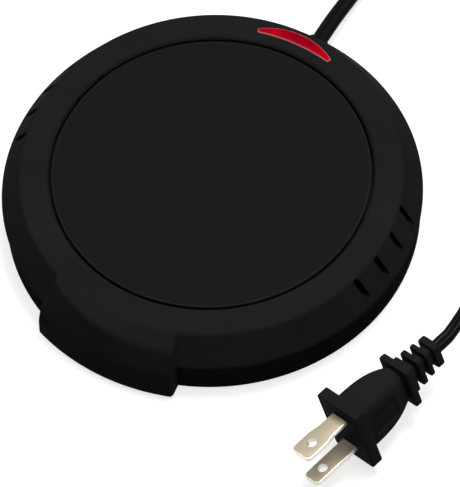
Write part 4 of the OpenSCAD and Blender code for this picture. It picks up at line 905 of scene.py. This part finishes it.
def makePlug(plug, cord):
    stations, length = plugStations(plug)
    rings = [np.insert(roundedRect(*size), 1, y, axis=1) for y, *size in stations]
    body = newPiece("plugBody", np.concatenate(rings) * mm, stackFaces(len(rings), len(rings[0])), "plug")
    tidyMesh(body, plug["sharp"])
    along, up, out = plug["panelAt"]
    for side in (1, -1):
        panel = roundedRect(*plug["panel"]) + (along, up)
        cutter = prism(panel, side * out, side * plug["panelCut"], "panelCutter", axes=(1, 2, 0))
        cutOut(body, cutter, finishes["plug"])
    smoothBelow(body, plug["sharp"])
    layPiece(body, length, cord)
    return seat(body, "plug_body"), length


blade = {"width": 6.35, "wideTip": 7.9, "length": 17.4, "thickness": 1.5, "apart": 12.7, "tip": 1.6,
         "flareFrom": 5.0, "flareLength": 5.4, "holeAt": 11.9, "hole": 3.2, "punch": 2,
         "edge": 0.25, "edgeShare": 0.3,  # rounding of its rim, and where its middle row lies
         "sharp": 30.0, "flatFrom": 0.97}  # cosine of the turn past which a face counts as rim


def bladeOutline(blade, tipWidth, flareCount=13, tipCount=9):
    # half of the outline from the plug's face to the tip, then its mirror image
    share = np.linspace(0, 1, flareCount)
    flare = np.column_stack([blade["width"] / 2 + (tipWidth - blade["width"]) / 2 * eased(share),
                             -blade["flareFrom"] - blade["flareLength"] * share])
    tip = arcPoints((tipWidth / 2 - blade["tip"], blade["tip"] - blade["length"]), blade["tip"],
                    0, -math.pi / 2, tipCount)
    half = np.concatenate([[(blade["width"] / 2, 0)], flare, tip])
    return np.concatenate([half, half[::-1] * (-1, 1)])


def inset(outline, amount):
    # the outline drawn in by an amount, its ends at the plug's face kept there
    ahead, behind = np.roll(outline, -1, axis=0), np.roll(outline, 1, axis=0)
    along = (ahead - outline) / np.linalg.norm(ahead - outline, axis=1)[:, None]
    along += (outline - behind) / np.linalg.norm(outline - behind, axis=1)[:, None]
    along /= np.linalg.norm(along, axis=1)[:, None]
    moved = outline + np.column_stack([along[:, 1], -along[:, 0]]) * amount
    moved[[0, -1]] = outline[[0, -1]] * (1 - 2 * amount / blade["width"], 1)
    return moved


def makeBlade(name, side, tipWidth):
    outline, edge, reach = bladeOutline(blade, tipWidth), blade["edge"], blade["thickness"] / 2
    part = edge * blade["edgeShare"]
    rows = [(edge, -reach), (part, -reach + part), (0, -reach + edge),
            (0, reach - edge), (part, reach - part), (edge, reach)]
    height = side * blade["apart"] / 2
    points = np.concatenate([raised(inset(outline, amount), z + height) for amount, z in rows])
    piece = newPiece(name, points * mm, stackFaces(len(rows), len(outline)), "blade")
    tidyMesh(piece)
    hole = circle((0, -blade["holeAt"]), blade["hole"] / 2)
    punch = prism(hole, height - blade["punch"], height + blade["punch"], "holeCutter")
    cutOut(piece, punch, finishes["blade"])
    layPiece(piece, plugLength, cord)
    smoothBelow(piece, blade["sharp"])
    # painted highlight: the rims take a paler, shinier copy of the blade's metal
    dress(piece, finishes["blade"], bladeRim)
    flat = plugMatrix() @ Vector((0, 0, 1))
    for polygon in piece.data.polygons:
        polygon.material_index = int(abs(flat.dot(polygon.normal)) < blade["flatFrom"])
    return piece


# paler copy of the blade's metal for its rims, a painted highlight along the edges
bladeRim = sheetMetal("bladeRim", (0.8, 0.74, 0.62), roughness=0.3, metallic=0.6)
plugBody, plugLength = makePlug(plug, cord)
wideBlade = seat(makeBlade("wideBlade", 1, blade["wideTip"]), "plug_blade_wide")
narrowBlade = seat(makeBlade("narrowBlade", -1, blade["width"]), "plug_blade_narrow")
leadTie = softCopy("cord_tie", "tie", "leadTie", bevel=0.35)
tuple(leadPath[0])
[tuple(p) for p in leadPath]
print("plug: laid at the cord's end")


# Pieces whose shape is the node's own

softCopy("warming_plate", "plate", "warmingPlate")
softCopy("base_cover", "base", "baseCover")
softCopy("rubber_feet", "feet", "rubberFeet")
softCopy("cord_bushing", "cord", "cordBushing", bevel=0.25)

slotOf = {s["node"]: s["material_slot"] for s in frame["record"]["subparts"]}
for name, node in nodes.items():
    if not node.hide_render:
        dress(node, finishes[slotOf[name]])
print("inner pieces finished")


# Studio: a pale floor that keeps the shadow, a pale surround, a soft key from behind and a wide strip above

white = (1, 1, 1, 1)
studio = {
    "floorSize": 8, "floorDrop": 0.00005,  # metres
    "floor": 0.36, "floorGlow": 0.7, "floorBounce": 0.22, "surround": 0.24,
    "keyFrom": (0.06, 0.3, 1.15), "keySize": 0.4, "keyPower": 12.0,
    "topFrom": (0.0, -0.05, 1.0), "topSize": 2.6, "topPower": 10.0,
    "depth": 0.4,  # of both lamps
}


def seenDirectly(tree):
    # 1 for what the camera, a mirror or glass sees
    ray = tree.group.nodes.new("ShaderNodeLightPath")
    rays = [Sock(tree, ray.outputs[label]) for label in
            ("Is Camera Ray", "Is Glossy Ray", "Is Transmission Ray")]
    return tree.add("ShaderNodeClamp", None, {"Value": rays[0] + rays[1] + rays[2]})


def makeStudio(studio):
    bpy.ops.mesh.primitive_plane_add(size=studio["floorSize"], location=(0, 0, -studio["floorDrop"]))
    floor = bpy.context.object
    floor.name = "studioFloor"
    material = bpy.data.materials.new("paleFloor")
    material.use_nodes = True
    tree = NodeTree(material.node_tree)
    seen = seenDirectly(tree)
    pale, dull = ((studio[label],) * 3 + (1,) for label in ("floor", "floorBounce"))
    glow = tree.add("ShaderNodeEmission", None, {"Color": white, "Strength": seen * studio["floorGlow"]})
    matte = tree.add("ShaderNodeBsdfDiffuse", None, {"Color": tree.mixColour(seen, dull, pale)})
    both = tree.add("ShaderNodeAddShader", None, {0: matte, 1: glow})
    tree.add("ShaderNodeOutputMaterial", None, {"Surface": both})
    floor.data.materials.append(material)
    world = bpy.data.worlds.new("studioSurround")
    world.use_nodes = True
    scene.world = world
    tree = NodeTree(world.node_tree)
    seen = seenDirectly(tree)
    strength = seen + (1 - seen) * studio["surround"]
    light = tree.add("ShaderNodeBackground", None, {"Color": white, "Strength": strength})
    tree.add("ShaderNodeOutputWorld", None, {"Surface": light})
    for name in ("key", "top"):
        data = bpy.data.lights.new(name + "Light", "AREA")
        data.shape, data.size, data.size_y = "RECTANGLE", studio[name + "Size"], studio["depth"]
        data.energy = studio[name + "Power"]
        lamp = bpy.data.objects.new(name + "Light", data)
        lamp.location = studio[name + "From"]
        lamp.rotation_euler = Vector(studio[name + "From"]).to_track_quat("Z", "Y").to_euler()
        scene.collection.objects.link(lamp)


makeStudio(studio)
scene.view_settings.view_transform = "Standard"
print("studio lit")

bpy.context.view_layer.update()
